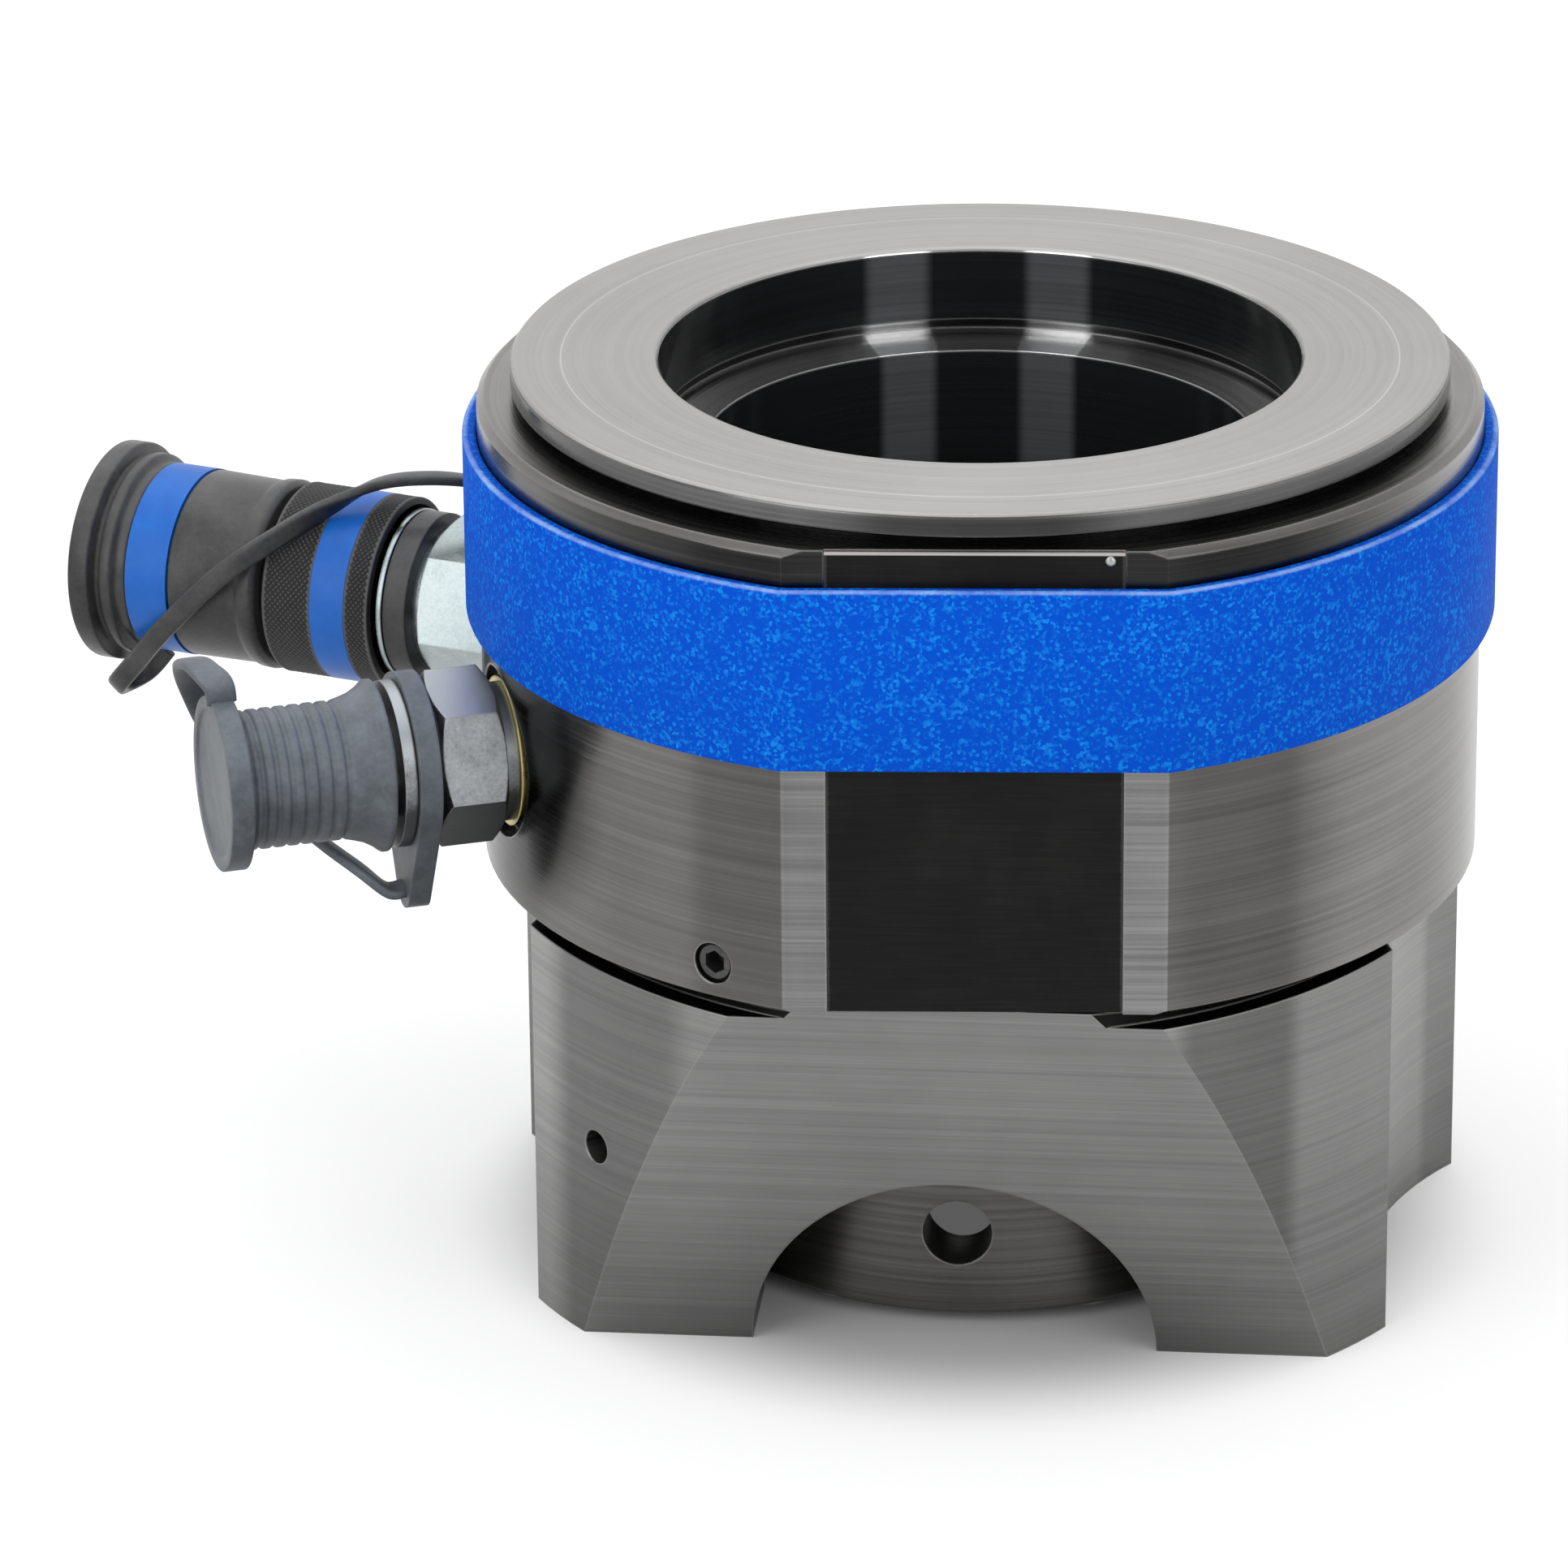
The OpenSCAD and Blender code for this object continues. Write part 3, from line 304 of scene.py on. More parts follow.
body_steel = machined_steel(
    "body_steel",
    grey(0.082, 0.145, 0.03),
    0.24,
    [
        (lambda at: (0 - at["y"]).rise(FLAT - 0.0002, FLAT - 0.0001), grey(0.13, 0.29, 0.0), 0.28, 1.0),
        (top_face, grey(0.17, 0.3, 0.03), 0.26, 1.0),
        # Painted reflection: the top face and chamfer are darker towards the plate.
        (lambda at: top_face(at) * front(at) * 0.7, grey(0.03, 0.08, 0.0), 0.26, 1.0),
        (rim, grey(0.12, 0.22, 0.03), 0.24, 1.0),
        # Painted reflection: the wall above the band is darker towards the plate.
        (lambda at: rim(at) * front(at), grey(0.014, 0.045, 0.0), 0.2, 1.0),
        # Painted reflection: the lower port's dark reflection on the polished body.
        (port_reflection, grey(0.008, 0.02, 0.05), 0.26, 1.0),
    ],
    # Painted highlights and painted shade on the walls, by heading.
    [(-46, 16, 0.25), (-27, 7, -0.12), (31, 9, -0.15), (72, 36, 0.85)],
)
dress(body_steel, "cylinder_body")


# Rating plate: thin strip set flush into the flat, bare black on purpose.
# Anodised sheet with a faint rolled grain and pale worn sides, held by a small domed pin.
# Its top edge carries a painted highlight.
PLATE_HALF, PLATE_TOP = 0.0205, 0.1279
plate_finish, place = new_finish("plate_black", {"Metallic": 0.0, "Specular IOR Level": 0.12})
x = place.part("X")
z = x.beside("Z")
rolled = place.node("ShaderNodeCombineXYZ", None, {"X": x * 0.03, "Z": z}).grain(0.0004)
beside = (abs(x) - PLATE_HALF + rolled * 0.0003).rise(-0.0004, 0.0001)
# Pale worn sides, and a painted highlight along the top edge.
rubbed_sides_lit_top = beside + z.rise(PLATE_TOP, PLATE_TOP + 0.0003) * 3
sheet = (rolled * 0.5 + place.grain(0.012) * 0.5 + rubbed_sides_lit_top).rise(0.3, 1.5)
black = sheet.tint((0.0035, 0.0033, 0.0032, 1), (0.04, 0.039, 0.037, 1))
feed(
    plate_finish,
    # Painted highlight: a pale line along the top edge.
    Base_Color=z.rise(PLATE_TOP, PLATE_TOP + 0.0002).tint(black, (0.5, 0.46, 0.45, 1)),
    Roughness=0.42 + (rolled - 0.5) * 0.25,
    Normal=bumped(place, rolled, 0.12, 0.0001),
)
dress(plate_finish, "rating_plate")


def hang(name, work, material, body, replaces=()):
    """Makes an object of a finished bmesh, and lets it ride on a body."""
    mesh = bpy.data.meshes.new(name)
    work.to_mesh(mesh)
    work.free()
    mesh.shade_smooth()
    mesh.set_sharp_from_angle(angle=math.radians(35))
    mesh.materials.append(material)
    piece = bpy.data.objects.new(name, mesh)
    bpy.context.scene.collection.objects.link(piece)
    if body:
        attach(piece, body)
    if replaces:
        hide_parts(*replaces)
    return piece


def turned(axis, profile, rounding, steps=96):
    """Spins a profile of (along, radius) points in millimetres round an axis, and rounds its corners."""
    work = bmesh.new()
    line = [work.verts.new((r / 1000, 0, t / 1000)) for t, r in profile]
    for a, b in zip(line, line[1:]):
        work.edges.new((a, b))
    bmesh.ops.spin(
        work,
        geom=work.verts[:] + work.edges[:],
        cent=(0, 0, 0),
        axis=(0, 0, 1),
        angle=2 * math.pi,
        steps=steps,
        use_merge=True,
    )
    bmesh.ops.remove_doubles(work, verts=work.verts, dist=1e-6)
    bmesh.ops.recalc_face_normals(work, faces=work.faces)
    bent = [e for e in work.edges if len(e.link_faces) == 2]
    bmesh.ops.bevel(
        work,
        geom=[e for e in bent if e.calc_face_angle(0) > math.radians(24)],
        offset=rounding / 1000,
        affect="EDGES",
        segments=3,
        profile=0.5,
        material=-1,
        clamp_overlap=True,
    )
    work.transform(axis)
    return work


pin_steel = machined_steel("pin_steel", grey(0.3, 0.5, 0.0), 0.25)
pin_place = Matrix.Translation((0.0185, -FLAT, 0.1272)) @ Matrix.Rotation(math.radians(90), 4, "X")
dome = [(-1.5, 0), (-1.5, 0.75), (0.1, 0.75), (0.28, 0.55), (0.36, 0.28), (0.38, 0)]
pin = turned(pin_place, dome, 0.04, 24)
hang("plate_pin", pin, pin_steel, "load_cell")


# Grip band: blue anti-slip tape wrapped round the body and straight across the flat.
# Mineral grit on a plastic backing, cut to width with a butt seam at the back.
BAND_R = 0.0741
BAND_THICK = 0.00205
band_flat = FLAT + BAND_R - BODY_R
band = bmesh.new()
bmesh.ops.create_cone(
    band,
    cap_ends=False,
    segments=256,
    radius1=BAND_R,
    radius2=BAND_R,
    depth=BAND_TOP - BAND_FOOT,
)
bmesh.ops.translate(band, verts=band.verts, vec=(0, 0, (BAND_TOP + BAND_FOOT) / 2))
bmesh.ops.bisect_plane(
    band,
    geom=band.verts[:] + band.edges[:] + band.faces[:],
    plane_co=(0, -band_flat, 0),
    plane_no=(0, -1, 0),
    clear_outer=True,
)
upright_edges = [e for e in band.edges if abs(e.verts[0].co.z - e.verts[1].co.z) > 0.01]
open_ends = [e for e in upright_edges if e.is_boundary]
bmesh.ops.contextual_create(band, geom=open_ends)
bmesh.ops.recalc_face_normals(band, faces=band.faces)
grit, place = new_finish("grip_blue", {"Specular IOR Level": 0.05})
x = place.part("X")
y, z = x.beside("Y"), x.beside("Z")
mottle = place.grain(0.006, 4.0, 0.7)
cells = place.node("ShaderNodeTexVoronoi", None, {"Vector": place, "Scale": 2100.0}, "Color")
speck = cells.node("ShaderNodeSeparateColor", None, {"Color": cells}, "Red")
crumb = place.grain(0.0006, 3.0, 0.7)
pale = (speck * 0.6 + crumb * 0.5 + (mottle - 0.5) * 0.35).rise(0.55, 1.05)
seam = (abs(x) - 0.00025).rise(0.0002, 0.0) * y.rise(0.05, 0.06)
blue = pale.tint((0.0003, 0.08, 0.6, 1), (0.01, 0.3, 0.92, 1))
inset = y.maths("MINIMUM", BAND_R - (x * x + y * y) ** 0.5, band_flat + y)
# Painted highlight: the band's top face is paler blue near its outer edge.
lit_top_edge = z.rise(BAND_TOP - 0.0005, BAND_TOP - 0.0001) * inset.rise(0.001, 0.0004) * (mottle * 1.3 - 0.2)
feed(
    grit,
    Base_Color=seam.tint(lit_top_edge.tint(blue, (0.4, 0.58, 0.9, 1)), (0.004, 0.02, 0.12, 1)),
    Roughness=0.62 + pale * 0.15,
    Normal=bumped(place, crumb * 0.6 + speck * 0.4 - seam * 2, 0.5, 0.0003),
)
grip = hang("grip_tape", band, grit, "load_cell", ["grip_band"])
wall = grip.modifiers.new("tape_thickness", "SOLIDIFY")
wall.thickness = BAND_THICK
wall.offset = -1
soft_edge = grip.modifiers.new("cut_edge", "BEVEL")
soft_edge.width = 0.0004
soft_edge.segments = 2
soft_edge.limit_method = "ANGLE"
soft_edge.angle_limit = math.radians(50)


# Grub screws: three dog-point screws that run in the bridge's groove and hold the load cell on it.
# Black-oxide steel with a broached hexagon socket.
screw_black, place = new_finish("screw_black", {"Metallic": 0.85})
oxide = place.grain(0.0012, 3.0)
feed(
    screw_black,
    Base_Color=oxide.tint((0.025, 0.025, 0.027, 1), (0.12, 0.118, 0.115, 1)),
    Roughness=0.35 + oxide * 0.2,
    Normal=bumped(place, oxide, 0.15, 0.0001),
)
dress(screw_black, "grub_screw_1", "grub_screw_2", "grub_screw_3")


# Seals and guide rings: machined polymer rings in the piston and in the body's lower land.
# They hide inside the cylinder, and show only when the tool is taken apart.
seal_cream, place = new_finish("seal_cream", {"Specular IOR Level": 0.4})
turned_marks = place.grain(0.0006)
feed(
    seal_cream,
    Base_Color=turned_marks.tint((0.6, 0.54, 0.42, 1), (0.78, 0.73, 0.6, 1)),
    Roughness=0.4 + turned_marks * 0.15,
    Normal=bumped(place, turned_marks, 0.1, 0.0001),
)
dress(seal_cream, "rod_seal", "rod_backup_ring")
dress(seal_cream, "piston_guide_ring", "piston_seal", "piston_backup_ring")


# Piston: hollow ring with a wide rim, a counterbore and a conical seat for the puller bar.
# Its top is turned bright with one scribed circle. The honed bores are painted nearly black and without
# metal as painted shade, and carry painted reflection bands.
PISTON_TOP = 0.1334
SCRIBED_R = 0.0598
COUNTERBORE_R = 0.0461
BORE_R = 0.0398


def bright_top(at):
    """1 on the turned top face."""
    return at["z"].rise(PISTON_TOP, PISTON_TOP + 0.0002) * at["level"]


def below_top(at):
    """1 below the piston's top face."""
    return at["z"].rise(PISTON_TOP + 0.0002, PISTON_TOP - 0.0001)


def in_counterbore(at):
    """1 in the counterbore and in all that lies deeper inside."""
    return at["reach"].rise(COUNTERBORE_R + 0.0003, COUNTERBORE_R) * below_top(at)


def in_bore(at):
    """1 in the bore below the seat."""
    return at["reach"].rise(BORE_R + 0.0004, BORE_R) * below_top(at)


def scribed(at):
    """Up to 0.6 on the scribed circle."""
    return abs(at["reach"] - SCRIBED_R).rise(0.0002, 0.0) * at["level"] * 0.6


piston_steel = machined_steel(
    "piston_steel",
    grey(0.03, 0.07, 0.0),
    0.2,
    [
        (bright_top, grey(0.33, 0.41, 0.015), 0.3, 1.0),
        (scribed, grey(0.6, 0.7, 0.0), 0.3, 1.0),
        # Painted shade: the counterbore and bore are nearly black and without metal.
        (in_counterbore, grey(0.008, 0.015, -0.06), 0.16, 0.0),
        (in_bore, grey(0.011, 0.018, -0.06), 0.16, 0.0),
        (lambda at: in_counterbore(at) * at["level"], grey(0.34, 0.44, 0.0), 0.24, 1.0),
    ],
    # Painted reflection bands on the bores' back walls and painted highlights on the rim's sides.
    [(-164, 7, 6.0), (166, 7, 6.0), (43, 34, 1.5), (-43, 34, 1.5)],
    glinting=below_top,
    mark=0.0005,
)
dress(piston_steel, "piston")


# Female quick coupler: zinc-plated body with hexagon, screwed into the upper port on a bonded seal.
# The plating is bright and slightly cloudy, with a pale blue-green cast in its darker clouds.
def at_port(angle, height):
    """Port frame: X outwards from the spot face, Y towards the front, Z up."""
    return Matrix.Rotation(math.radians(angle), 4, "Z") @ Matrix.Translation((SPOT_FACE, 0, height))


def along_port(angle, height):
    """Port frame with Z outwards."""
    return at_port(angle, height) @ Matrix.Rotation(math.radians(90), 4, "Y")


coupler_axis = along_port(COUPLER_ANGLE, COUPLER_Z)
nipple_axis = along_port(NIPPLE_ANGLE, NIPPLE_Z)


def plated(name, dark, light, rough, lit_top_shaded_under=0.0):
    """Cloudy zinc plating with fine turning marks, a painted highlight on its corners, painted light on
    top and painted shade below.
    """
    material, place = new_finish(name, {"Metallic": 1.0})
    cloud = place.grain(0.004, 4.0, 0.7)
    fine = place.grain(0.0005, 2.0)
    surface, soft, corner = rounded(place, 0.0004)
    upward = surface.part("Z")
    # Painted light on upper faces and painted shade on lower ones.
    painted_top_light = (upward.rise(0.2, 0.8) - upward.rise(0.05, -0.6)) * lit_top_shaded_under
    shine = (cloud * 0.5 + fine * 0.2 + corner * 0.4 + painted_top_light + 0.18).rise(0.2, 0.9)
    feed(
        material,
        Base_Color=shine.tint(dark, light),
        Roughness=rough + (cloud - 0.5) * 0.2,
        Normal=bumped(place, fine, 0.1, 0.0001, soft),
    )
    return material


bright_zinc = plated("bright_zinc", (0.22, 0.28, 0.285, 1), (0.48, 0.52, 0.525, 1), 0.26)
dress(bright_zinc, "coupler_body", "coupler_poppet")
spring_wire = plated("spring_wire", (0.2, 0.2, 0.205, 1), (0.5, 0.5, 0.5, 1), 0.3)
dress(spring_wire, "lock_balls", "sleeve_snap_ring")
yellow_zinc = plated("yellow_zinc", (0.38, 0.3, 0.08, 1), (0.75, 0.66, 0.3, 1), 0.3)
dress(yellow_zinc, "coupler_bonded_seal", "nipple_bonded_seal", "coupler_plug", "nipple_plug")


# Springs: one round-wire coil behind the sleeve and one behind each valve poppet. Each stands on a
# fixed shoulder of its port.
def spring(node, axis, radius, wire, foot, head, turns):
    """A coil from foot to head along a port, in millimetres.

    The radius is that of the coil's centre line, and wire is half the wire's thickness.
    """
    steps = turns * 24
    start = Matrix.Translation((radius / 1000, 0, (foot + wire) / 1000))
    across = Matrix.Rotation(math.radians(90), 4, "X")
    work = bmesh.new()
    bmesh.ops.create_circle(work, segments=10, radius=wire / 1000, matrix=start @ across)
    bmesh.ops.spin(
        work,
        geom=work.verts[:] + work.edges[:],
        cent=(0, 0, 0),
        axis=(0, 0, 1),
        dvec=(0, 0, (head - foot - 2 * wire) / 1000 / steps),
        angle=math.tau * turns,
        steps=steps,
    )
    bmesh.ops.holes_fill(work, edges=[e for e in work.edges if e.is_boundary])
    bmesh.ops.recalc_face_normals(work, faces=work.faces)
    work.transform(axis)
    coil = hang(node + "_coil", work, spring_wire, "load_cell", [node])
    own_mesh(coil)


spring(
    "sleeve_spring", coupler_axis, radius=11.0, wire=0.5, foot=31.02, head=38.18, turns=3,
)
spring(
    "coupler_poppet_spring", coupler_axis, radius=2.9, wire=0.35, foot=6.02, head=12.98, turns=4,
)
spring(
    "nipple_poppet_spring", nipple_axis, radius=2.2, wire=0.3, foot=6.02, head=14.98, turns=5,
)


# Locking sleeve: black moulded grip that pulls back to free the hose, with a plain blue ring in it.
# Fine diamond knurling either side of the ring, worn paler on its points.
SLEEVE_R = 14.3
KNURL_DEPTH = 0.2
KNURL_COLUMNS = 180


def knurl_rows(start, end, spacing=0.42):
    """Stops of (along, radius) in millimetres across one knurled zone."""
    count = round((end - start) / spacing)
    return [(start + (end - start) * i / count, SLEEVE_R) for i in range(count + 1)]


zones = knurl_rows(23.2, 26.0), knurl_rows(32.6, 39.4)


def knurl_row(height):
    """Number of the knurl's row at this height in millimetres, or None outside the knurled zones."""
    for zone in zones:
        for row, stop in enumerate(zone):
            if abs(stop[0] - height) < 0.01:
                return row
    return None


outside = [(22.4, 13.2), (22.4, 14.0), (22.7, SLEEVE_R)] + zones[0]
outside += [(26.5, SLEEVE_R), (26.5, 13.6), (32.1, 13.6), (32.1, SLEEVE_R)] + zones[1]
outside += [(39.8, SLEEVE_R), (40.2, 13.9), (40.2, 11.6), (49.6, 11.6), (50.2, 11.0)]
inside = [(50.2, 10.7), (44.8, 10.7), (44.2, 9.65), (38.2, 9.65), (38.2, 12.4), (27.4, 12.4)]
inside += [(27.4, 13.2), (22.4, 13.2)]
sleeve = turned(Matrix.Identity(4), outside + inside, 0.1, KNURL_COLUMNS)
grooves = []
for corner in sleeve.verts:
    row = knurl_row(corner.co.z * 1000)
    column = round(math.atan2(corner.co.y, corner.co.x) / math.tau * KNURL_COLUMNS)
    outer = corner.co.xy.length * 1000 > SLEEVE_R - 0.05
    if outer and row is not None and (row + column) % 2:
        corner.co.xy *= 1 - KNURL_DEPTH / SLEEVE_R
        grooves.append(corner)
bmesh.ops.connect_verts(sleeve, verts=grooves)
sleeve.transform(coupler_axis)
knurled, place = new_finish("sleeve_black", {"Specular IOR Level": 0.5})
port_place = place.node(
    "ShaderNodeMapping",
    {"vector_type": "TEXTURE"},
    {"Vector": place, "Location": coupler_axis.translation, "Rotation": coupler_axis.to_euler()},
)
x = port_place.part("X")
y = x.beside("Y")
worn = ((x * x + y * y) ** 0.5).rise((SLEEVE_R - KNURL_DEPTH) / 1000, SLEEVE_R / 1000)
dust = place.grain(0.002, 4.0)
greyed = (worn * 0.6 + dust * 0.4).rise(0.2, 1.1)
feed(
    knurled,
    Base_Color=greyed.tint((0.005, 0.005, 0.0055, 1), (0.1, 0.098, 0.095, 1)),
    Roughness=0.5 + dust * 0.15,
    Normal=bumped(place, dust, 0.2, 0.0001),
)
hang("knurled_sleeve", sleeve, knurled, "coupler_sleeve", ["coupler_sleeve"])
ring_blue, place = new_finish("ring_blue", {"Specular IOR Level": 0.3})
cloud = place.grain(0.005, 3.0)
feed(
    ring_blue,
    Base_Color=cloud.tint((0.002, 0.085, 0.42, 1), (0.012, 0.17, 0.64, 1)),
    Roughness=0.32 + cloud * 0.12,
    Normal=bumped(place, place.grain(0.0008), 0.06, 0.0001),
)
dress(ring_blue, "sleeve_band", "cap_band")


# Rubber dust cap of the coupler: moulded cup over the sleeve's nose, with a thick lip at its mouth,
# a plain blue ring in a groove, and a doubled end flange that the fingers pull.
def moulded_rubber(name, dark, light, rough, grain=0.0007):
    """Moulded rubber: matt and a little dusty, with painted light on top and painted shade below, and
    pale scuffs on its corners.
    """
    constants = {"Specular IOR Level": 0.35, "Sheen Weight": 0.08, "Sheen Roughness": 0.4}
    material, place = new_finish(name, constants)
    skin = place.grain(grain, 3.0)
    dust = place.grain(0.007, 4.0, 0.65)
    surface, soft, corner = rounded(place, 0.0005, 0.25)
    # Painted light and shade: lighter on upper faces, darker on lower ones.
    above = surface.part("Z").rise(-0.9, 0.7)
    scuffed = dust * 0.6 + skin * 0.2 + corner * dust * 0.4
    pale = (scuffed + above * 0.32 - 0.1).rise(0.15, 1.0)
    feed(
        material,
        Base_Color=pale.tint(dark, light),
        Roughness=rough + (skin - 0.5) * 0.2,
        Normal=bumped(place, skin * 0.7 + dust * 0.3, 0.22, 0.0002, soft),
    )
    return material


black_rubber = moulded_rubber("black_rubber", (0.005, 0.0052, 0.006, 1), (0.1, 0.1, 0.1, 1), 0.36)
cap_profile = [
    (41.5, 11.65), (41.5, 13.6), (42.3, 14.3), (44.0, 14.2), (44.8, 13.8), (55.8, 14.0),
    (56.1, 13.35), (62.9, 13.35), (63.2, 14.0), (64.5, 14.0), (65.1, 15.2), (66.7, 15.2),
    (66.9, 14.5), (67.7, 14.5), (68.1, 16.5), (71.3, 16.5), (71.3, 14.2), (70.6, 13.4), (70.6, 0.0),
]
cap_inside = [(48.2, 0.0), (48.2, 5.9), (57.2, 5.9), (57.2, 11.65), (41.5, 11.65)]
cup = turned(coupler_axis, cap_profile + cap_inside, 0.28)
hang("coupler_dust_cap", cup, black_rubber, "coupler_cap", ["coupler_cap"])
dress(black_rubber, "coupler_strap_ring")


# Male nipple: grey zinc-plated body with hexagon and probe, screwed into the lower port.
# Duller plating than the coupler's, with a dark tarnish; its upper faces carry painted light and its
# lower ones painted shade.
dull_zinc = plated("dull_zinc", (0.05, 0.052, 0.054, 1), (0.36, 0.38, 0.395, 1), 0.4, 0.6)
dress(dull_zinc, "nipple_body", "nipple_poppet")


# Rubber dust cap of the nipple: ribbed grey cup with a flared mouth and a thick bare end disc.
# One moulding with rounded ribs, matt and a little dusty.
grey_rubber = moulded_rubber("grey_rubber", (0.028, 0.034, 0.041, 1), (0.2, 0.224, 0.25, 1), 0.5)
RIBS, RIBS_FROM, RIBS_TO = 7, 25.7, 40.0
RIB_R, GROOVE_R = 10.0, 9.65
ribbed = [(20.4, 7.65), (20.4, 12.4), (21.2, 12.4), (22.2, 11.55), (23.6, 10.75), (25.4, 10.2)]
for k in range(RIBS):
    middle = RIBS_FROM + (RIBS_TO - RIBS_FROM) / RIBS * (k + 0.5)
    ribbed += [(middle - 0.45, RIB_R), (middle - 0.25, GROOVE_R)]
    ribbed += [(middle + 0.25, GROOVE_R), (middle + 0.45, RIB_R)]
ribbed += [(RIBS_TO, RIB_R), (40.3, 9.7), (41.1, 9.7), (41.1, 12.6), (44.4, 12.6), (44.4, 10.9)]
ribbed += [(44.0, 10.4), (44.0, 0.0), (40.4, 0.0), (40.4, 7.65), (20.4, 7.65)]
cup = turned(nipple_axis, ribbed, 0.2)
hang("nipple_dust_cap", cup, grey_rubber, "nipple_cap", ["nipple_cap"])
dress(grey_rubber, "nipple_strap_ring")


# Straps: flat moulded rubber cords that keep both caps on the tool. Each runs from its ring's lobe,
# behind or across its cap, and ends on the cap's flange or end disc.
def on_curve(points, u):
    """Point of a smooth curve through the points."""
    last = len(points) - 1
    i = min(int(u), last - 1)
    f = u - i
    a, b, c, d = points[max(i - 1, 0)], points[i], points[i + 1], points[min(i + 2, last)]
    return b + 0.5 * f * ((c - a) + f * ((2 * a - 5 * b + 4 * c - d) + f * (3 * b - a - 3 * c + d)))


def strap(name, port, route, width, thick, material, node):
    """A flat cord through stops of (point, way of its width) in port millimetres."""
    places = [Vector(p) / 1000 for p, w in route]
    widths = [Vector(w) for p, w in route]
    spans = len(route) - 1
    steps = 10
    work = bmesh.new()
    path, before = [], None
    for i in range(spans * steps + 1):
        u = i / steps
        middle = on_curve(places, u)
        ahead = on_curve(places, min(u + 0.05, spans)) - on_curve(places, max(u - 0.05, 0))
        ahead.normalize()
        side = on_curve(widths, u)
        side = (side - side.dot(ahead) * ahead).normalized()
        up = ahead.cross(side)
        ring = bmesh.ops.create_circle(work, segments=20, radius=1)["verts"]
        for corner in ring:
            c, s = corner.co.x, corner.co.y
            reach = math.copysign(abs(c) ** 0.45, c) * width / 2
            lift = math.copysign(abs(s) ** 0.6, s) * thick / 2
            corner.co = port @ (middle + side * reach + up * lift)
        rim = list({e for corner in ring for e in corner.link_edges})
        if before:
            bmesh.ops.bridge_loops(work, edges=before + rim)
        before = rim
        path.append(port @ middle)
    bmesh.ops.holes_fill(work, edges=[e for e in work.edges if e.is_boundary])
    bmesh.ops.recalc_face_normals(work, faces=work.faces)
    piece = hang(name, work, material, None, [node])
    length = sum((b - a).length for a, b in zip(path, path[1:]))
    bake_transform(piece)


strap(
    "coupler_cap_strap",
    at_port(COUPLER_ANGLE, COUPLER_Z),
    [
        ((17.6, -15.8, 0), (0, 0, -1)),
        ((13.6, -16.2, 0.9), (-0.4, 0, -0.9)),
        ((10.6, -16.2, 4.2), (-0.9, 0, -0.4)),
        ((9.2, -13.6, 9), (-1, 0, 0)),
        ((9.4, -9, 14.4), (-1, 0, 0)),
        ((12.4, -3.6, 17.6), (-0.85, 0.5, 0)),
        ((18.6, 0.2, 18.7), (-0.6, 0.75, 0)),
        ((25.4, 3.2, 17.9), (-0.4, 0.9, 0.1)),
        ((31.6, 7.2, 14.8), (0.3, 0.7, 0.4)),
        ((37.3, 11.8, 11.2), (0.6, 0.4, 0.6)),
        ((45.8, 15.8, 4.8), (0.6, 0, 0.8)),
        ((55.3, 15.8, -4.8), (0.6, 0, 0.8)),
        ((62.3, 12.8, -12.6), (0.7, 0.2, 0.7)),
        ((66.4, 10.8, -17.2), (0.7, 0.1, 0.7)),
        ((67.7, 6.6, -18.9), (0.7, 0, 0.6)),
        ((65.4, 3.2, -17.7), (0.85, 0.1, 0.35)),
        ((62.6, 2.2, -14.2), (1, 0.3, 0)),
    ],
    width=0.0032,
    thick=0.0016,
    material=black_rubber,
    node="coupler_strap",
)
strap(
    "nipple_cap_strap",
    at_port(NIPPLE_ANGLE, NIPPLE_Z),
    [
        ((16.9, 0, -19.4), (0, 1, 0)),
        ((19.6, 0, -19.4), (0, 1, 0)),
        ((23.2, -1.6, -16.4), (0.3, 1, 0.2)),
        ((28.7, -7, -12.4), (0.5, 0.8, 0.4)),
        ((34.7, -13.6, -6.5), (0.7, 0.3, 0.6)),
        ((39.9, -17.2, 1), (1, 0, 0.3)),
        ((43.4, -15.6, 9), (1, 0, 0)),
        ((45.2, -10.5, 14.2), (1, 0, 0)),
        ((45.2, -5.4, 16.4), (1, 0, 0)),
        ((44.4, -2.2, 16.2), (1, 0, 0)),
        ((43.05, -0.2, 14.7), (1, 0, 0)),
        ((42.75, 0, 12.2), (1, 0, 0)),
    ],
    width=0.0044,
    thick=0.0016,
    material=grey_rubber,
    node="nipple_strap",
)


# Studio: a pale floor that keeps the soft shadow, a white surround, one large lamp above and two
# tall soft lamps in front. Dark panels in the surround are seen only in reflections on the steel.
def in_mirrors(ray):
    """1 for rays that have met a mirror-like surface or gone through one."""
    return ray.maths("MAXIMUM", ray.beside("Is Glossy Ray"), ray.beside("Is Transmission Ray"))


floor_mesh = bmesh.new()
bmesh.ops.create_grid(floor_mesh, x_segments=1, y_segments=1, size=4)
mesh = bpy.data.meshes.new("floor")
floor_mesh.to_mesh(mesh)
floor_mesh.free()
floor = bpy.data.objects.new("floor", mesh)
bpy.context.scene.collection.objects.link(floor)
floor_white = bpy.data.materials.new("floor_white")
floor_white.use_nodes = True
tree = floor_white.node_tree
tree.nodes.remove(tree.nodes["Principled BSDF"])
ray = Wire(tree.nodes.new("ShaderNodeLightPath").outputs["Is Camera Ray"])
matt = ray.node("ShaderNodeBsdfDiffuse", None, {"Color": (0.6, 0.6, 0.6, 1)})
seen = ray.maths("MAXIMUM", ray, in_mirrors(ray))
spot = Wire(tree.nodes.new("ShaderNodeTexCoord").outputs["Object"])
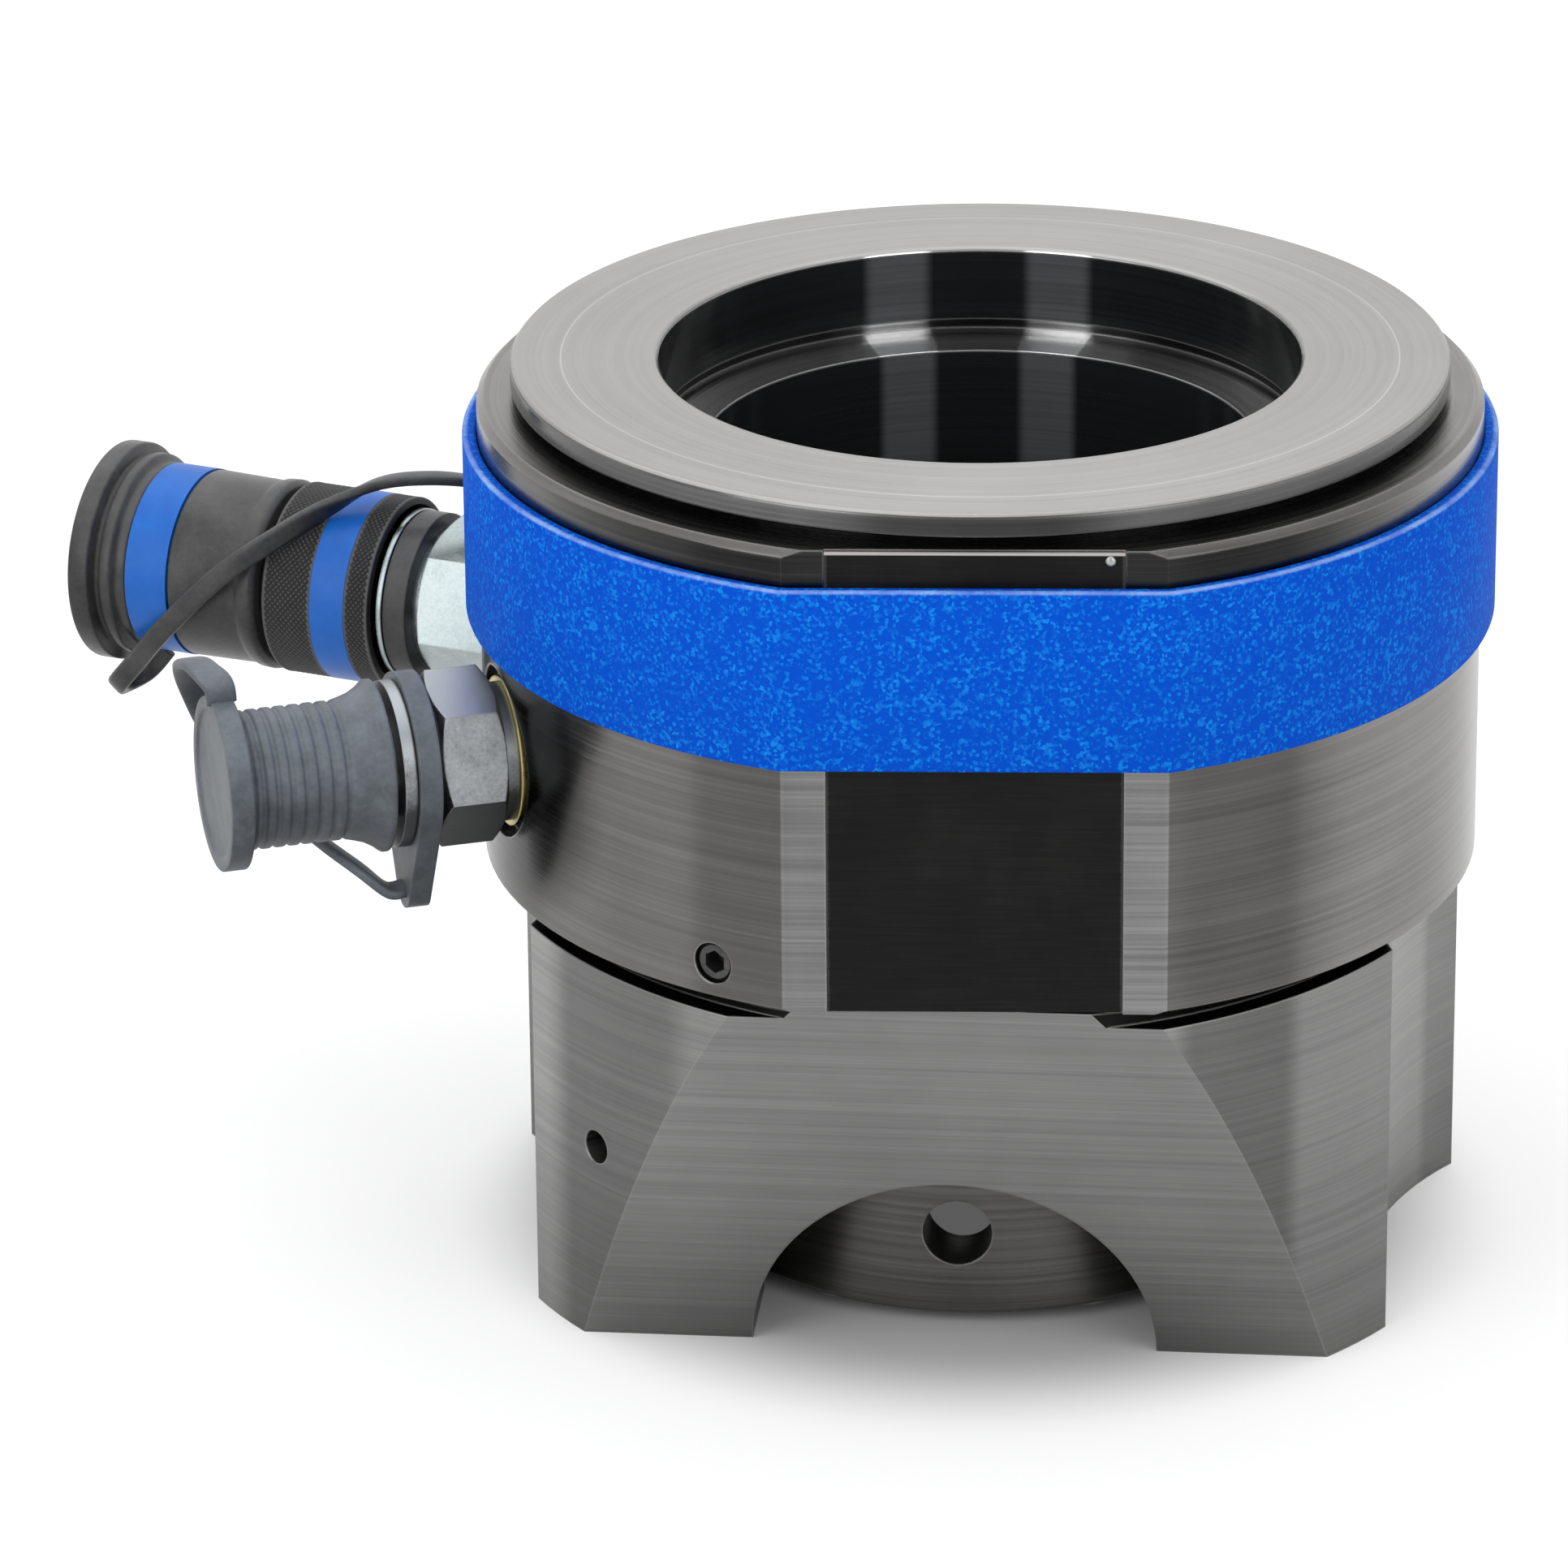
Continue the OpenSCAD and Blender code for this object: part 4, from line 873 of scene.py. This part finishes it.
reach = spot.node("ShaderNodeVectorMath", {"operation": "LENGTH"}, {0: spot}, "Value")
# Painted shade: the glow is left out in a disc under the tool, where its shade falls.
shine = seen * reach.rise(0.05, 0.08) * 0.45
glow = ray.node("ShaderNodeEmission", None, {"Color": shine, "Strength": 1.0})
both = ray.node("ShaderNodeAddShader", None, {0: matt, 1: glow})
tree.links.new(both.socket, tree.nodes["Material Output"].inputs["Surface"])
mesh.materials.append(floor_white)

world = bpy.data.worlds.new("studio")
bpy.context.scene.world = world
world.use_nodes = True
tree = world.node_tree
ray = Wire(tree.nodes.new("ShaderNodeLightPath").outputs["Is Camera Ray"])
way = Wire(tree.nodes.new("ShaderNodeTexCoord").outputs["Generated"])
x = way.part("X")
y, z = x.beside("Y"), x.beside("Z")
heading = x.maths("ARCTAN2", x, 0 - y)
dark_left = abs(heading + 1.15).rise(0.5, 0.2)
dark_front = abs(heading - 0.02).rise(0.3, 0.1)
dark_right = abs(heading - 0.95).rise(0.3, 0.1)
flags = (dark_left + dark_front + dark_right) * z.rise(0.75, 0.4)
mirrored = in_mirrors(ray)
around = mirrored * (1 - flags * 0.62) + (1 - mirrored) * 0.72
shown = ray.maths("MAXIMUM", ray, around)
background = tree.nodes["Background"]
tree.links.new(shown.socket, background.inputs["Color"])
background.inputs["Strength"].default_value = 1.0


def soft_lamp(name, place, aim, width, height, power):
    """A rectangular soft lamp at a place, aimed at a point."""
    lamp = bpy.data.lights.new(name, "AREA")
    lamp.shape = "RECTANGLE"
    lamp.size, lamp.size_y = width, height
    lamp.energy = power
    holder = bpy.data.objects.new(name, lamp)
    holder.location = place
    holder.rotation_euler = (Vector(aim) - Vector(place)).to_track_quat("-Z", "Y").to_euler()
    bpy.context.scene.collection.objects.link(holder)


tool_middle = (0, 0, 0.08)
soft_lamp("lamp_above", (-0.1, 0.25, 0.95), tool_middle, width=1.5, height=1.3, power=5.2)
soft_lamp("lamp_left", (-0.7, -0.75, 0.5), tool_middle, width=0.6, height=1.0, power=3.5)
soft_lamp("lamp_right", (0.65, -0.8, 0.45), tool_middle, width=0.6, height=0.9, power=2.5)


# Camera: the photograph's own place, found by fitting the ring's ellipses and the bridge's edges.
# A long lens from 1.3 metres, 22 degrees above the horizon and almost square to the plate.
DISTANCE = 1.3
PHOTO_PIXELS = 1932
FOCAL_PIXELS = 10788
FOOT_PIXEL = (1202.37, 1483.73)
TURN, LIFT, ROLL = math.radians(1.98), math.radians(22.21), math.radians(-0.52)
right = Vector((math.cos(TURN), math.sin(TURN), 0))
back = Vector((math.sin(TURN) * math.cos(LIFT), -math.cos(TURN) * math.cos(LIFT), math.sin(LIFT)))
up = back.cross(right)
middle = PHOTO_PIXELS / 2
aside = (FOOT_PIXEL[0] - middle) / FOCAL_PIXELS * DISTANCE
below = (middle - FOOT_PIXEL[1]) / FOCAL_PIXELS * DISTANCE
eye = DISTANCE * back - aside * right - below * up
rolled_right = math.cos(ROLL) * right + math.sin(ROLL) * up
rolled_up = math.cos(ROLL) * up - math.sin(ROLL) * right
lens = bpy.data.cameras.new("photo_camera")
lens.sensor_width = 36
lens.lens = lens.sensor_width * FOCAL_PIXELS / PHOTO_PIXELS
lens.clip_end = 20
camera = bpy.data.objects.new("photo_camera", lens)
camera.matrix_world = Matrix((
    (rolled_right.x, rolled_up.x, back.x, eye.x),
    (rolled_right.y, rolled_up.y, back.y, eye.y),
    (rolled_right.z, rolled_up.z, back.z, eye.z),
    (0, 0, 0, 1),
))
bpy.context.scene.collection.objects.link(camera)
bpy.context.scene.camera = camera
bpy.context.scene.view_settings.view_transform = "Standard"
